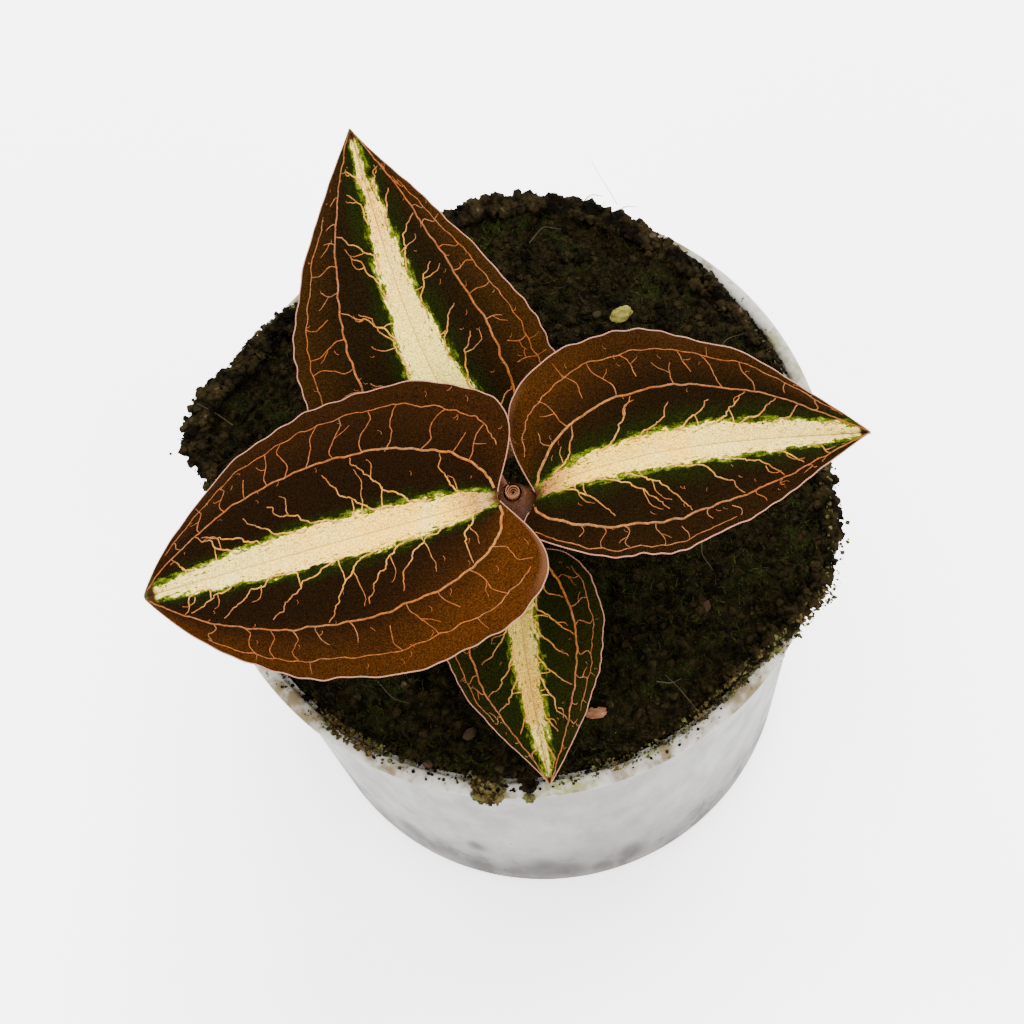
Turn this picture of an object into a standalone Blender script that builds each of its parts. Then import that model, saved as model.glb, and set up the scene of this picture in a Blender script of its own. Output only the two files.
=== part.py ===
"""Potted jewel orchid: four patterned leaves and a rolled young leaf on one short stem, in a plastic pot."""
from dataclasses import dataclass
from math import cos, exp, pi, radians, sin, sqrt

import bmesh
import bpy
from mathutils import Matrix, Vector, noise

MM = 0.001
GAP = 0.3 * MM

# Pot: a thin turned wall with a rolled lip, standing on its flat underside at the origin.
POT_HEIGHT = 87.0 * MM
POT_BASE_RADIUS = 39.0 * MM
POT_LIP_RADIUS = 45.0 * MM
POT_WALL = 1.1 * MM
LIP_ROLL = 1.15 * MM
FLOOR_THICKNESS = 1.3 * MM
FOOT_CHANNEL_RISE = 1.5 * MM
FOOT_CHANNEL_INNER = 17.0 * MM
FOOT_CHANNEL_OUTER = 36.0 * MM
FOOT_CHANNEL_SLOPE = 1.0 * MM
FOOT_BEVEL = 1.2 * MM
FLOOR_FILLET = 1.0 * MM
LIP_STEPS = 10
DRAIN_COUNT = 8
DRAIN_RADIUS = 3.0 * MM
DRAIN_CIRCLE = 26.5 * MM
POT_SEGMENTS = 80

# Soil: fills the pot, dips at the front and spills over the lip at the back and at both sides.
SOIL_DEPTH_GAP = 0.35 * MM
SOIL_WALL_GAP = 0.5 * MM
SOIL_STEP = 0.2 * MM
SOIL_EDGE_THICKNESS = 1.0 * MM
SOIL_MOUND = 1.2 * MM
SOIL_ROUGHNESS = 0.9 * MM
SOIL_GRAIN = 5.0 * MM
SOIL_RINGS = 20
SOIL_SEGMENTS = 84
SOIL_SINK = 0.9 * MM
SPILL_CLEARANCE = 0.35 * MM
SPILL_START = 1.0 * MM
SPILL_DROOP = 0.45
SPILL_CLUMP = 0.25
SPILLS = (
    # direction, half width in degrees, reach beyond the wall
    (75.0, 34.0, 4.4 * MM),
    (136.0, 11.0, 2.9 * MM),
    (157.5, 12.5, 8.0 * MM),
    (342.0, 19.0, 5.4 * MM),
    (331.0, 6.0, 1.2 * MM),
    (320.0, 8.0, 1.6 * MM),
    (255.0, 4.0, 2.2 * MM),
)

# Stem: stands in a plain hole in the soil and leans slightly forward.
STEM_FOOT = Vector((-0.4, -8.4, 72.0)) * MM
STEM_TOP = Vector((-0.7, -9.3, 109.4)) * MM
STEM_FOOT_RADIUS = 2.4 * MM
STEM_TOP_RADIUS = 1.5 * MM
STEM_NODE_SWELL = 0.3 * MM
STEM_RINGS = 44
STEM_SIDES = 16

# Leaves: blades of one thickness, each on a petiole whose collar clasps the stem.
BLADE_THICKNESS = 0.75 * MM
BLADE_STATIONS = 22
BLADE_STRIPS = 6
PETIOLE_RADIUS = 0.95 * MM
KEEL_END_RADIUS = 0.2 * MM
KEEL_END = 0.8
COLLAR_HEIGHT = 2.8 * MM
COLLAR_WALL = 0.75 * MM

# Young leaf: still rolled into a tube on the stem's tip.
ROLL_HEIGHT = 5.0 * MM
ROLL_BASE_RADIUS = 1.35 * MM
ROLL_TIP_RADIUS = 1.05 * MM
ROLL_STEP = 0.28 * MM
ROLL_BORE_RADIUS = 0.4 * MM
ROLL_BORE_DEPTH = 3.0 * MM
ROLL_LEAN = Vector((0.1, -0.2, 0.0)) * MM

# Bark chips lying on the soil: place, half sizes and turn.
CHIP_BACK = (Vector((19.5, 23.0, 0.0)) * MM, Vector((1.7, 1.15, 0.85)) * MM, 15.0)
CHIP_FRONT = (Vector((5.2, -34.9, 0.0)) * MM, Vector((1.5, 0.85, 0.6)) * MM, -2.0)
CHIP_SEAT_RADIUS = 2.3 * MM


@dataclass
class Side:
    """One half of a blade: its width and how its margin rises, falls and sweeps back at the base."""
    width: float
    rise: float
    fall: float
    lobe: float
    lobe_at: float
    lift: float


@dataclass
class Leaf:
    """A leaf from its base at the petiole to its tip; its left half is on the left looking to the tip."""
    name: str
    base: Vector
    tip: Vector
    bow: float
    arch: float
    dome: float
    wave: float
    wave_count: float
    wave_phase: float
    left: Side
    right: Side
    collar_z: float
    color: tuple


LEAVES = (
    Leaf("leaf_left", Vector((-2.8, -10.0, 114.5)) * MM, Vector((-52.3, -13.2, 109.5)) * MM,
         bow=0.6 * MM, arch=2.0 * MM, dome=1.0 * MM, wave=0.35 * MM, wave_count=3.2, wave_phase=0.1,
         left=Side(20.1 * MM, 0.77, 0.92, 0.232, 0.200, 0.3 * MM),
         right=Side(19.5 * MM, 0.70, 0.91, 0.220, 0.200, 0.6 * MM),
         collar_z=107.3 * MM, color=(0.045, 0.018, 0.007, 1.0)),
    Leaf("leaf_right", Vector((2.4, -9.8, 111.8)) * MM, Vector((48.5, -9.2, 110.5)) * MM,
         bow=2.1 * MM, arch=2.2 * MM, dome=0.8 * MM, wave=0.6 * MM, wave_count=3.6, wave_phase=0.35,
         left=Side(17.2 * MM, 0.83, 1.19, 0.171, 0.200, 2.6 * MM),
         right=Side(14.8 * MM, 0.56, 1.12, 0.079, 0.030, 2.6 * MM),
         collar_z=103.6 * MM, color=(0.045, 0.020, 0.007, 1.0)),
    Leaf("leaf_back", Vector((-1.8, -1.2, 103.0)) * MM, Vector((-13.7, 45.0, 120.0)) * MM,
         bow=3.4 * MM, arch=1.5 * MM, dome=0.9 * MM, wave=0.5 * MM, wave_count=2.6, wave_phase=0.2,
         left=Side(17.7 * MM, 0.56, 1.06, 0.048, 0.046, -0.8 * MM),
         right=Side(16.5 * MM, 0.42, 1.17, 0.032, 0.200, 0.6 * MM),
         collar_z=99.9 * MM, color=(0.040, 0.022, 0.008, 1.0)),
    Leaf("leaf_front", Vector((-1.2, -13.5, 100.5)) * MM, Vector((-2.9, -44.2, 90.0)) * MM,
         bow=-1.0 * MM, arch=1.4 * MM, dome=0.8 * MM, wave=0.4 * MM, wave_count=2.4, wave_phase=0.6,
         left=Side(11.2 * MM, 0.47, 1.03, 0.020, 0.060, 0.8 * MM),
         right=Side(10.8 * MM, 0.70, 1.25, 0.058, 0.074, 0.8 * MM),
         collar_z=96.2 * MM, color=(0.018, 0.028, 0.008, 1.0)),
)

SOIL_COLOR = (0.012, 0.011, 0.007, 1.0)
POT_COLOR = (0.52, 0.53, 0.54, 1.0)
STEM_COLOR = (0.33, 0.13, 0.09, 1.0)
ROLL_COLOR = (0.36, 0.15, 0.12, 1.0)
CHIP_BACK_COLOR = (0.42, 0.38, 0.13, 1.0)
CHIP_FRONT_COLOR = (0.36, 0.20, 0.14, 1.0)


def clear_scene():
    """Remove whatever the file opened with."""
    for item in list(bpy.data.objects):
        bpy.data.objects.remove(item, do_unlink=True)


def add_material(obj, color, roughness, metallic=0.0):
    """Give the object its own plain material."""
    material = bpy.data.materials.new(obj.name)
    material.use_nodes = True
    shader = material.node_tree.nodes["Principled BSDF"]
    shader.inputs["Base Color"].default_value = color
    shader.inputs["Roughness"].default_value = roughness
    shader.inputs["Metallic"].default_value = metallic
    obj.data.materials.clear()
    obj.data.materials.append(material)


def add_object(name, bm):
    """Turn a bmesh into a named object with outward faces."""
    bmesh.ops.recalc_face_normals(bm, faces=bm.faces)
    mesh = bpy.data.meshes.new(name)
    bm.to_mesh(mesh)
    bm.free()
    obj = bpy.data.objects.new(name, mesh)
    bpy.context.collection.objects.link(obj)
    return obj


def shade(obj, angle):
    """Shade the object smooth, with edges sharper than the angle left crisp."""
    obj.data.shade_smooth()
    obj.data.set_sharp_from_angle(angle=radians(angle))


def add_tube(bm, centers, radii, sides):
    """Sweep a round section along the centres and close both ends."""
    rings = []
    previous = None
    for index, center in enumerate(centers):
        ahead = centers[min(index + 1, len(centers) - 1)]
        behind = centers[max(index - 1, 0)]
        along = (ahead - behind).normalized()
        if previous is None:
            helper = Vector((1.0, 0.0, 0.0)) if abs(along.x) < 0.8 else Vector((0.0, 1.0, 0.0))
            across = (helper - along * helper.dot(along)).normalized()
        else:
            across = (previous - along * previous.dot(along)).normalized()
        previous = across
        other = along.cross(across)
        ring = []
        for side in range(sides):
            turn = 2.0 * pi * side / sides
            ring.append(bm.verts.new(center + radii[index] * (cos(turn) * across + sin(turn) * other)))
        rings.append(ring)
    join_rings(bm, rings)


def combine(target, others, operation):
    """Apply one exact Boolean of the other objects on the target, then remove them."""
    group = bpy.data.collections.new(target.name + "_pieces")
    bpy.context.scene.collection.children.link(group)
    for other in others:
        for holder in list(other.users_collection):
            holder.objects.unlink(other)
        group.objects.link(other)
        other.hide_render = True
        other.display_type = "WIRE"
    modifier = target.modifiers.new(operation.lower(), "BOOLEAN")
    modifier.operation = operation
    modifier.solver = "EXACT"
    modifier.operand_type = "COLLECTION"
    modifier.collection = group
    bpy.context.view_layer.update()
    evaluated = target.evaluated_get(bpy.context.evaluated_depsgraph_get())
    result = bpy.data.meshes.new_from_object(evaluated)
    target.modifiers.clear()
    target.data = result
    for other in others:
        bpy.data.objects.remove(other, do_unlink=True)
    bpy.data.collections.remove(group)


def wall_radius(z):
    """Outer radius of the pot's tapering wall."""
    top = POT_LIP_RADIUS - 2.0 * LIP_ROLL + 0.5 * POT_WALL
    return POT_BASE_RADIUS + (top - POT_BASE_RADIUS) * z / POT_HEIGHT


def pot_outline():
    """Section of the pot from the foot channel out, up the wall, round the lip and down inside."""
    floor_top = FOOT_CHANNEL_RISE + FLOOR_THICKNESS
    lip_r = POT_LIP_RADIUS - LIP_ROLL
    lip_z = POT_HEIGHT - LIP_ROLL
    neck_z = lip_z - 1.4 * LIP_ROLL
    outline = [
        (FOOT_CHANNEL_INNER, 0.0),
        (FOOT_CHANNEL_INNER + FOOT_CHANNEL_SLOPE, FOOT_CHANNEL_RISE),
        (FOOT_CHANNEL_OUTER - FOOT_CHANNEL_SLOPE, FOOT_CHANNEL_RISE),
        (FOOT_CHANNEL_OUTER, 0.0),
        (POT_BASE_RADIUS - FOOT_BEVEL, 0.0),
        (wall_radius(FOOT_BEVEL), FOOT_BEVEL),
        (wall_radius(neck_z), neck_z),
    ]
    for step in range(LIP_STEPS + 1):
        turn = radians(-120.0 + 300.0 * step / LIP_STEPS)
        outline.append((lip_r + LIP_ROLL * cos(turn), lip_z + LIP_ROLL * sin(turn)))
    outline.append((wall_radius(lip_z) - POT_WALL, lip_z))
    outline.append((wall_radius(floor_top + FLOOR_FILLET) - POT_WALL, floor_top + FLOOR_FILLET))
    outline.append((wall_radius(floor_top) - POT_WALL - FLOOR_FILLET, floor_top))
    return outline


def add_turned(bm, outline, segments):
    """Turn an outline about the pot's axis and close its first and last circle."""
    rings = []
    for radius, z in outline:
        ring = []
        for segment in range(segments):
            turn = 2.0 * pi * segment / segments
            ring.append(bm.verts.new((radius * cos(turn), radius * sin(turn), z)))
        rings.append(ring)
    join_rings(bm, rings)


def join_rings(bm, rings):
    """Bridge a run of closed loops and fill the first and the last one."""
    count = len(rings[0])
    for lower, upper in zip(rings, rings[1:]):
        for side in range(count):
            following = (side + 1) % count
            bm.faces.new((lower[side], lower[following], upper[following], upper[side]))
    bm.faces.new(rings[0])
    bm.faces.new(rings[-1])


def build_pot():
    """Turn the wall, lip and footed floor, then cut the drain holes in the foot channel."""
    bm = bmesh.new()
    add_turned(bm, pot_outline(), POT_SEGMENTS)
    pot = add_object("pot", bm)
    below = Vector((0.0, 0.0, -1.0 * MM))
    above = Vector((0.0, 0.0, FOOT_CHANNEL_RISE + FLOOR_THICKNESS + 1.0 * MM))
    cutters = []
    for index in range(DRAIN_COUNT):
        turn = 2.0 * pi * (index + 0.5) / DRAIN_COUNT
        center = Vector((DRAIN_CIRCLE * cos(turn), DRAIN_CIRCLE * sin(turn), 0.0))
        cutter = bmesh.new()
        add_tube(cutter, [center + below, center + above], [DRAIN_RADIUS, DRAIN_RADIUS], 16)
        cutters.append(add_object(f"drain_{index}", cutter))
    combine(pot, cutters, "DIFFERENCE")
    shade(pot, 35.0)
    add_material(pot, POT_COLOR, 0.4)


def soil_radius(z):
    """Radius of the soil inside the wall."""
    return wall_radius(z) - POT_WALL - SOIL_WALL_GAP


def spill_reach(turn):
    """How far the soil laps over the wall in a direction; negative where it stays inside."""
    degrees = turn * 180.0 / pi
    reach = -SOIL_SINK
    for direction, half_width, amount in SPILLS:
        away = (degrees - direction + 180.0) % 360.0 - 180.0
        reach += amount * exp(-(away / half_width) ** 2)
    return reach


def chip_seats():
    """Places where the soil is smoothed flat for a chip."""
    return (CHIP_BACK[0], CHIP_FRONT[0])


def soil_height(x, y, edge_z, inward):
    """Height of the crumbly surface, from its edge inwards."""
    level = POT_HEIGHT + SOIL_MOUND
    grain = noise.fractal(Vector((x, y, 0.0)) / SOIL_GRAIN, 1.0, 2.0, 3) * SOIL_ROUGHNESS
    swell = noise.noise(Vector((x, y, 3.0 * MM)) / (3.5 * SOIL_GRAIN)) * SOIL_ROUGHNESS
    blend = min(1.0, inward / (9.0 * MM))
    z = edge_z + (level - edge_z) * blend
    rough = (grain + swell) * min(1.0, inward / (1.5 * MM))
    hole = sqrt((x - hole_center().x) ** 2 + (y - hole_center().y) ** 2)
    rough *= min(1.0, max(0.0, hole / STEM_FOOT_RADIUS - 1.0))
    for seat in chip_seats():
        distance = sqrt((x - seat.x) ** 2 + (y - seat.y) ** 2)
        rough *= min(1.0, max(0.0, distance / CHIP_SEAT_RADIUS - 1.0))
    return z + rough


def hole_center():
    """Where the stem enters the soil."""
    share = (POT_HEIGHT - STEM_FOOT.z) / (STEM_TOP.z - STEM_FOOT.z)
    return STEM_FOOT.lerp(STEM_TOP, share)


def soil_side(ray, edge_r, lap, rest_z):
    """Points below the soil's edge: under the spill, over the lip, down the wall and to the floor."""
    floor_z = FOOT_CHANNEL_RISE + FLOOR_THICKNESS + SOIL_DEPTH_GAP
    low_z = floor_z + FLOOR_FILLET
    mid_z = 0.5 * (floor_z + rest_z)
    clear_r = POT_LIP_RADIUS + GAP
    droop = max(0.0, edge_r - clear_r) * SPILL_DROOP
    tucked = max(0.0, 1.0 - lap / SPILL_START)
    run = (
        (edge_r - 0.06 * lap, rest_z + 2.0 * SOIL_STEP * tucked - droop),
        (min(soil_radius(POT_HEIGHT) + 0.85 * lap, clear_r), rest_z + SOIL_STEP * tucked),
        (soil_radius(POT_HEIGHT), rest_z),
        (soil_radius(mid_z), mid_z),
        (soil_radius(low_z), low_z),
        (soil_radius(floor_z) - FLOOR_FILLET, floor_z),
    )
    return [ray * radius + Vector((0.0, 0.0, z)) for radius, z in run]


def soil_column(turn):
    """Points in one direction: from the foot of the stem's hole over the surface to the floor."""
    ray = Vector((cos(turn), sin(turn), 0.0))
    reach = spill_reach(turn)
    lap = max(0.0, reach) * (1.0 + SPILL_CLUMP * noise.noise(ray * 7.0))
    edge_r = soil_radius(POT_HEIGHT) + lap
    rest_z = POT_HEIGHT + SPILL_CLEARANCE + min(0.0, reach)
    bore = ray * (STEM_FOOT_RADIUS + GAP)
    column = [STEM_FOOT + bore - Vector((0.0, 0.0, GAP))]
    mouth = hole_center() + bore
    mouth.z = 0.0
    for ring in range(SOIL_RINGS):
        share = (ring / (SOIL_RINGS - 1)) ** 0.9
        spot = mouth.lerp(ray * edge_r, share)
        inward = edge_r - spot.length
        spot.z = soil_height(spot.x, spot.y, rest_z + SOIL_EDGE_THICKNESS, inward)
        column.append(spot)
    return column + soil_side(ray, edge_r, lap, rest_z)


def build_soil():
    """Build the soil from one column of points in each direction round the stem."""
    columns = [soil_column(2.0 * pi * segment / SOIL_SEGMENTS) for segment in range(SOIL_SEGMENTS)]
    bm = bmesh.new()
    join_rings(bm, [[bm.verts.new(point) for point in loop] for loop in zip(*columns)])
    bmesh.ops.triangulate(bm, faces=bm.faces)
    soil = add_object("soil", bm)
    shade(soil, 50.0)
    add_material(soil, SOIL_COLOR, 0.95)


def stem_center(z):
    """Centre of the stem at a height."""
    return STEM_FOOT.lerp(STEM_TOP, (z - STEM_FOOT.z) / (STEM_TOP.z - STEM_FOOT.z))


def stem_radius(z):
    """Radius of the stem between its nodes."""
    share = (z - STEM_FOOT.z) / (STEM_TOP.z - STEM_FOOT.z)
    straight = min(1.0, max(0.0, (share - 0.45) / 0.55))
    return STEM_FOOT_RADIUS + (STEM_TOP_RADIUS - STEM_FOOT_RADIUS) * straight


def build_stem():
    """Sweep the stem, a little swollen below each collar and rounded at its tip."""
    centers = []
    radii = []
    for ring in range(STEM_RINGS + 1):
        z = STEM_FOOT.z + (STEM_TOP.z - STEM_FOOT.z) * ring / STEM_RINGS
        swell = 0.0
        for leaf in LEAVES:
            node_z = leaf.collar_z - 0.5 * COLLAR_HEIGHT - 0.55 * MM
            swell += STEM_NODE_SWELL * exp(-((z - node_z) / (0.3 * MM)) ** 2)
        rounding = 1.0 if ring < STEM_RINGS else 0.7
        centers.append(stem_center(z))
        radii.append((stem_radius(z) + swell) * rounding)
    bm = bmesh.new()
    add_tube(bm, centers, radii, STEM_SIDES)
    stem = add_object("stem", bm)
    shade(stem, 50.0)
    add_material(stem, STEM_COLOR, 0.45)


def leaf_axes(leaf):
    """Length of the leaf and its directions: to the tip, to its left and up from its face."""
    chord = leaf.tip - leaf.base
    along = chord.normalized()
    up = Vector((0.0, 0.0, 1.0))
    face = (up - along * along.z).normalized()
    return chord.length, along, face.cross(along), face


def blade_point(leaf, u, v):
    """Point of the upper face: u runs from base to tip, v from the right margin to the left one."""
    length, along, across, face = leaf_axes(leaf)
    side = leaf.left if v >= 0.0 else leaf.right
    out = abs(v)
    peak = side.rise / (side.rise + side.fall)
    scale = peak ** side.rise * (1.0 - peak) ** side.fall
    margin_y = side.width * u ** side.rise * (1.0 - u) ** side.fall / scale
    sweep = side.lobe * (u / side.lobe_at) * exp(1.0 - u / side.lobe_at) * (1.0 - u ** 4)
    x = length * (u - out ** 2 * sweep)
    y = (out if v >= 0.0 else -out) * margin_y + leaf.bow * sin(pi * u ** 0.7)
    ends = sqrt(max(0.0, 4.0 * u * (1.0 - u)))
    ripple = sin(2.0 * pi * (leaf.wave_count * u + leaf.wave_phase + (0.3 if v >= 0.0 else 0.0)))
    height = leaf.arch * sin(pi * u ** 0.8)
    height += (leaf.dome * sin(pi * out ** 0.8) + side.lift * out + leaf.wave * out ** 2 * ripple) * ends
    return leaf.base + x * along + y * across + height * face


def build_blade(leaf):
    """Build the closed blade, its two faces split into triangles alike."""
    face = leaf_axes(leaf)[3]
    bm = bmesh.new()
    skins = []
    for depth in (0.0, BLADE_THICKNESS):
        shift = face * depth
        start = bm.verts.new(blade_point(leaf, 0.0, 0.0) - shift)
        rows = []
        for station in range(1, BLADE_STATIONS):
            u = 0.5 * (1.0 - cos(pi * station / BLADE_STATIONS))
            row = []
            for strip in range(-BLADE_STRIPS, BLADE_STRIPS + 1):
                row.append(bm.verts.new(blade_point(leaf, u, strip / BLADE_STRIPS) - shift))
            rows.append(row)
        end = bm.verts.new(blade_point(leaf, 1.0, 0.0) - shift)
        skins.append((start, rows, end))
        across = range(2 * BLADE_STRIPS)
        for strip in across:
            bm.faces.new((start, rows[0][strip], rows[0][strip + 1]))
            bm.faces.new((end, rows[-1][strip], rows[-1][strip + 1]))
        for near, far in zip(rows, rows[1:]):
            for strip in across:
                bm.faces.new((near[strip], near[strip + 1], far[strip]))
                bm.faces.new((near[strip + 1], far[strip + 1], far[strip]))
    (start_a, rows_a, end_a), (start_b, rows_b, end_b) = skins
    for column in (0, -1):
        upper = [start_a] + [row[column] for row in rows_a] + [end_a]
        lower = [start_b] + [row[column] for row in rows_b] + [end_b]
        for index in range(len(upper) - 1):
            bm.faces.new((upper[index], upper[index + 1], lower[index + 1], lower[index]))
    return add_object(leaf.name, bm)


def petiole_path(leaf):
    """Centres and radii of the petiole, from the collar up to the blade and on as its keel."""
    face = leaf_axes(leaf)[3]
    heading = leaf_axes(leaf)[1].copy()
    heading.z = 0.0
    heading.normalize()
    collar = stem_center(leaf.collar_z)
    outside = stem_radius(leaf.collar_z) + GAP + COLLAR_WALL
    join_u = 0.07
    join = blade_point(leaf, join_u, 0.0) - face * (PETIOLE_RADIUS + 0.15 * MM)
    foot = collar + heading * (outside - 0.25 * MM)
    elbow = collar + heading * (outside + 1.35 * MM) + Vector((0.0, 0.0, 1.3 * MM))
    reach = (join - elbow)
    centers = [foot, foot.lerp(elbow, 0.5) + Vector((0.0, 0.0, -0.2 * MM)), elbow]
    radii = [PETIOLE_RADIUS * 1.15, PETIOLE_RADIUS * 1.1, PETIOLE_RADIUS]
    for share in (0.3, 0.6, 0.85):
        rise = elbow + reach * share
        rise -= heading * (0.25 * reach.length * share * (1.0 - share))
        centers.append(rise)
        radii.append(PETIOLE_RADIUS)
    steps = 9
    for step in range(steps + 1):
        u = join_u + (KEEL_END - join_u) * step / steps
        radius = PETIOLE_RADIUS + (KEEL_END_RADIUS - PETIOLE_RADIUS) * (step / steps) ** 0.7
        centers.append(blade_point(leaf, u, 0.0) - face * (radius + 0.15 * MM))
        radii.append(radius)
    return centers, radii


def build_leaf(leaf):
    """Join the blade, its petiole and its collar, and open the collar for the stem."""
    blade = build_blade(leaf)
    bm = bmesh.new()
    centers, radii = petiole_path(leaf)
    add_tube(bm, centers, radii, 10)
    petiole = add_object(leaf.name + "_petiole", bm)
    low = leaf.collar_z - 0.5 * COLLAR_HEIGHT
    high = leaf.collar_z + 0.5 * COLLAR_HEIGHT
    bore = max(stem_radius(low), stem_radius(high)) + GAP + 0.05 * MM
    bm = bmesh.new()
    add_tube(bm, [stem_center(low), stem_center(high)], [bore + COLLAR_WALL, bore + COLLAR_WALL], 20)
    collar = add_object(leaf.name + "_collar", bm)
    combine(blade, [petiole, collar], "UNION")
    bm = bmesh.new()
    add_tube(bm, [stem_center(low - 2.0 * MM), stem_center(high + 2.0 * MM)], [bore, bore], 20)
    cutter = add_object(leaf.name + "_bore", bm)
    combine(blade, [cutter], "DIFFERENCE")
    shade(blade, 40.0)
    add_material(blade, leaf.color, 0.5)


def build_rolled_leaf():
    """Build the rolled young leaf: a cam-shaped outer turn with a lapped edge and a blind bore."""
    sides = 24
    rows = 8
    foot = STEM_TOP + Vector((0.0, 0.0, GAP))
    bm = bmesh.new()
    rings = []
    for row in range(rows + 1):
        share = row / rows
        center = foot + ROLL_LEAN * share ** 2 + Vector((0.0, 0.0, ROLL_HEIGHT * share))
        radius = ROLL_BASE_RADIUS + (ROLL_TIP_RADIUS - ROLL_BASE_RADIUS) * share
        ring = []
        for side in range(sides + 1):
            turn = 2.0 * pi * side / sides
            reach = radius - ROLL_STEP * side / sides
            ring.append(bm.verts.new(center + reach * Vector((cos(turn), sin(turn), 0.0))))
        rings.append(ring)
    top = rings[-1]
    top_center = foot + ROLL_LEAN + Vector((0.0, 0.0, ROLL_HEIGHT))
    bore_rings = []
    for depth, radius in ((0.0, ROLL_BORE_RADIUS), (ROLL_BORE_DEPTH, ROLL_BORE_RADIUS * 0.8)):
        share = 1.0 - depth / ROLL_HEIGHT
        center = foot + ROLL_LEAN * share ** 2 + Vector((0.0, 0.0, ROLL_HEIGHT - depth))
        ring = []
        for side in range(sides):
            turn = 2.0 * pi * side / sides
            ring.append(bm.verts.new(center + radius * Vector((cos(turn), sin(turn), 0.0))))
        bore_rings.append(ring)
    count = sides + 1
    for lower, upper in zip(rings, rings[1:]):
        for side in range(count):
            following = (side + 1) % count
            bm.faces.new((lower[side], lower[following], upper[following], upper[side]))
    for side in range(sides):
        following = (side + 1) % sides
        bm.faces.new((top[side], top[side + 1], bore_rings[0][following], bore_rings[0][side]))
    bm.faces.new((top[sides], top[0], bore_rings[0][0]))
    for side in range(sides):
        following = (side + 1) % sides
        upper, lower = bore_rings
        bm.faces.new((upper[side], upper[following], lower[following], lower[side]))
    bm.faces.new(bore_rings[1])
    bm.faces.new(rings[0])
    roll = add_object("rolled_leaf", bm)
    shade(roll, 50.0)
    add_material(roll, ROLL_COLOR, 0.4)


def build_chip(name, place, half, turn, color):
    """Build a rough bark chip, flat underneath, just above its smoothed seat."""
    bm = bmesh.new()
    bmesh.ops.create_icosphere(bm, subdivisions=2, radius=1.0)
    for vert in bm.verts:
        bump = 1.0 + 0.22 * noise.noise(vert.co * 1.7 + place * 500.0)
        vert.co = Vector((vert.co.x * half.x, vert.co.y * half.y, vert.co.z * half.z)) * bump
    floor = -0.45 * half.z
    bmesh.ops.bisect_plane(bm, geom=bm.verts[:] + bm.edges[:] + bm.faces[:], plane_co=(0.0, 0.0, floor),
                           plane_no=(0.0, 0.0, -1.0), clear_outer=True)
    bmesh.ops.holes_fill(bm, edges=[edge for edge in bm.edges if edge.is_boundary])
    seat_z = POT_HEIGHT + SOIL_MOUND + GAP
    bmesh.ops.transform(bm, matrix=Matrix.Rotation(radians(turn), 4, "Z"), verts=bm.verts)
    bmesh.ops.translate(bm, vec=Vector((place.x, place.y, seat_z - floor)), verts=bm.verts)
    chip = add_object(name, bm)
    shade(chip, 60.0)
    add_material(chip, color, 0.8)


def build():
    """Build every sub-part."""
    clear_scene()
    build_pot()
    build_soil()
    build_stem()
    for leaf in LEAVES:
        build_leaf(leaf)
    build_rolled_leaf()
    build_chip("bark_chip_back", CHIP_BACK[0], CHIP_BACK[1], CHIP_BACK[2], CHIP_BACK_COLOR)
    build_chip("bark_chip_front", CHIP_FRONT[0], CHIP_FRONT[1], CHIP_FRONT[2], CHIP_FRONT_COLOR)


build()
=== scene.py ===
import random
from dataclasses import dataclass
from math import atan2, cos, exp, pi, radians, sin, sqrt

import bmesh
import bpy
import numpy as np
from mathutils import Matrix, Vector, noise


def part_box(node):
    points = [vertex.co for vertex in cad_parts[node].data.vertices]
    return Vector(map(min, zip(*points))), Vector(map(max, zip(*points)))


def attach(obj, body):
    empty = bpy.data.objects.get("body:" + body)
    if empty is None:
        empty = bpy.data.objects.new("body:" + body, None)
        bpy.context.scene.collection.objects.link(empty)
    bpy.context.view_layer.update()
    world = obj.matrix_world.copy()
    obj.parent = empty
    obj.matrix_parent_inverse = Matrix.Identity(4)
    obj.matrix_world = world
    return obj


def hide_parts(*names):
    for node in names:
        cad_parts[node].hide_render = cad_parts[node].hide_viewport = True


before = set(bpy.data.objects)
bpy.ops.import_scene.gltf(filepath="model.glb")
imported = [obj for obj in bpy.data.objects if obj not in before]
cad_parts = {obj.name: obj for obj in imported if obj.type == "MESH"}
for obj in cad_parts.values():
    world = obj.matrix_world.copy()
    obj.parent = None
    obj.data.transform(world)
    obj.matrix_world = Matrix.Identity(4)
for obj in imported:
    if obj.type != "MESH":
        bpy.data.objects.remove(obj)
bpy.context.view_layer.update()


# Pot
# A thin pot of milky plastic, moulded in one piece: a slightly tapered wall with a rolled lip on top and a
# channelled floor with drain holes. Damp soil shows through it as soft grey clouds; the darkest grey near
# the floor is partly that soil and partly painted shade.

MM = 0.001
pot_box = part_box("pot")
POT_HEIGHT = pot_box[1][2]
POT_LIP_RADIUS = pot_box[1][0]
POT_BASE_RADIUS = 39.0 * MM
POT_WALL = 1.1 * MM
LIP_ROLL = 1.15 * MM
FLOOR_TOP = 2.8 * MM
CHANNEL_RISE = 1.5 * MM
CHANNEL_INNER = 17.0 * MM
CHANNEL_OUTER = 36.0 * MM
DRAIN_COUNT = 8
DRAIN_RADIUS = 3.0 * MM
DRAIN_CIRCLE = 26.5 * MM
POT_SEGMENTS = 160
WALL_STEPS = 14
LIP_STEPS = 20
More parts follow.
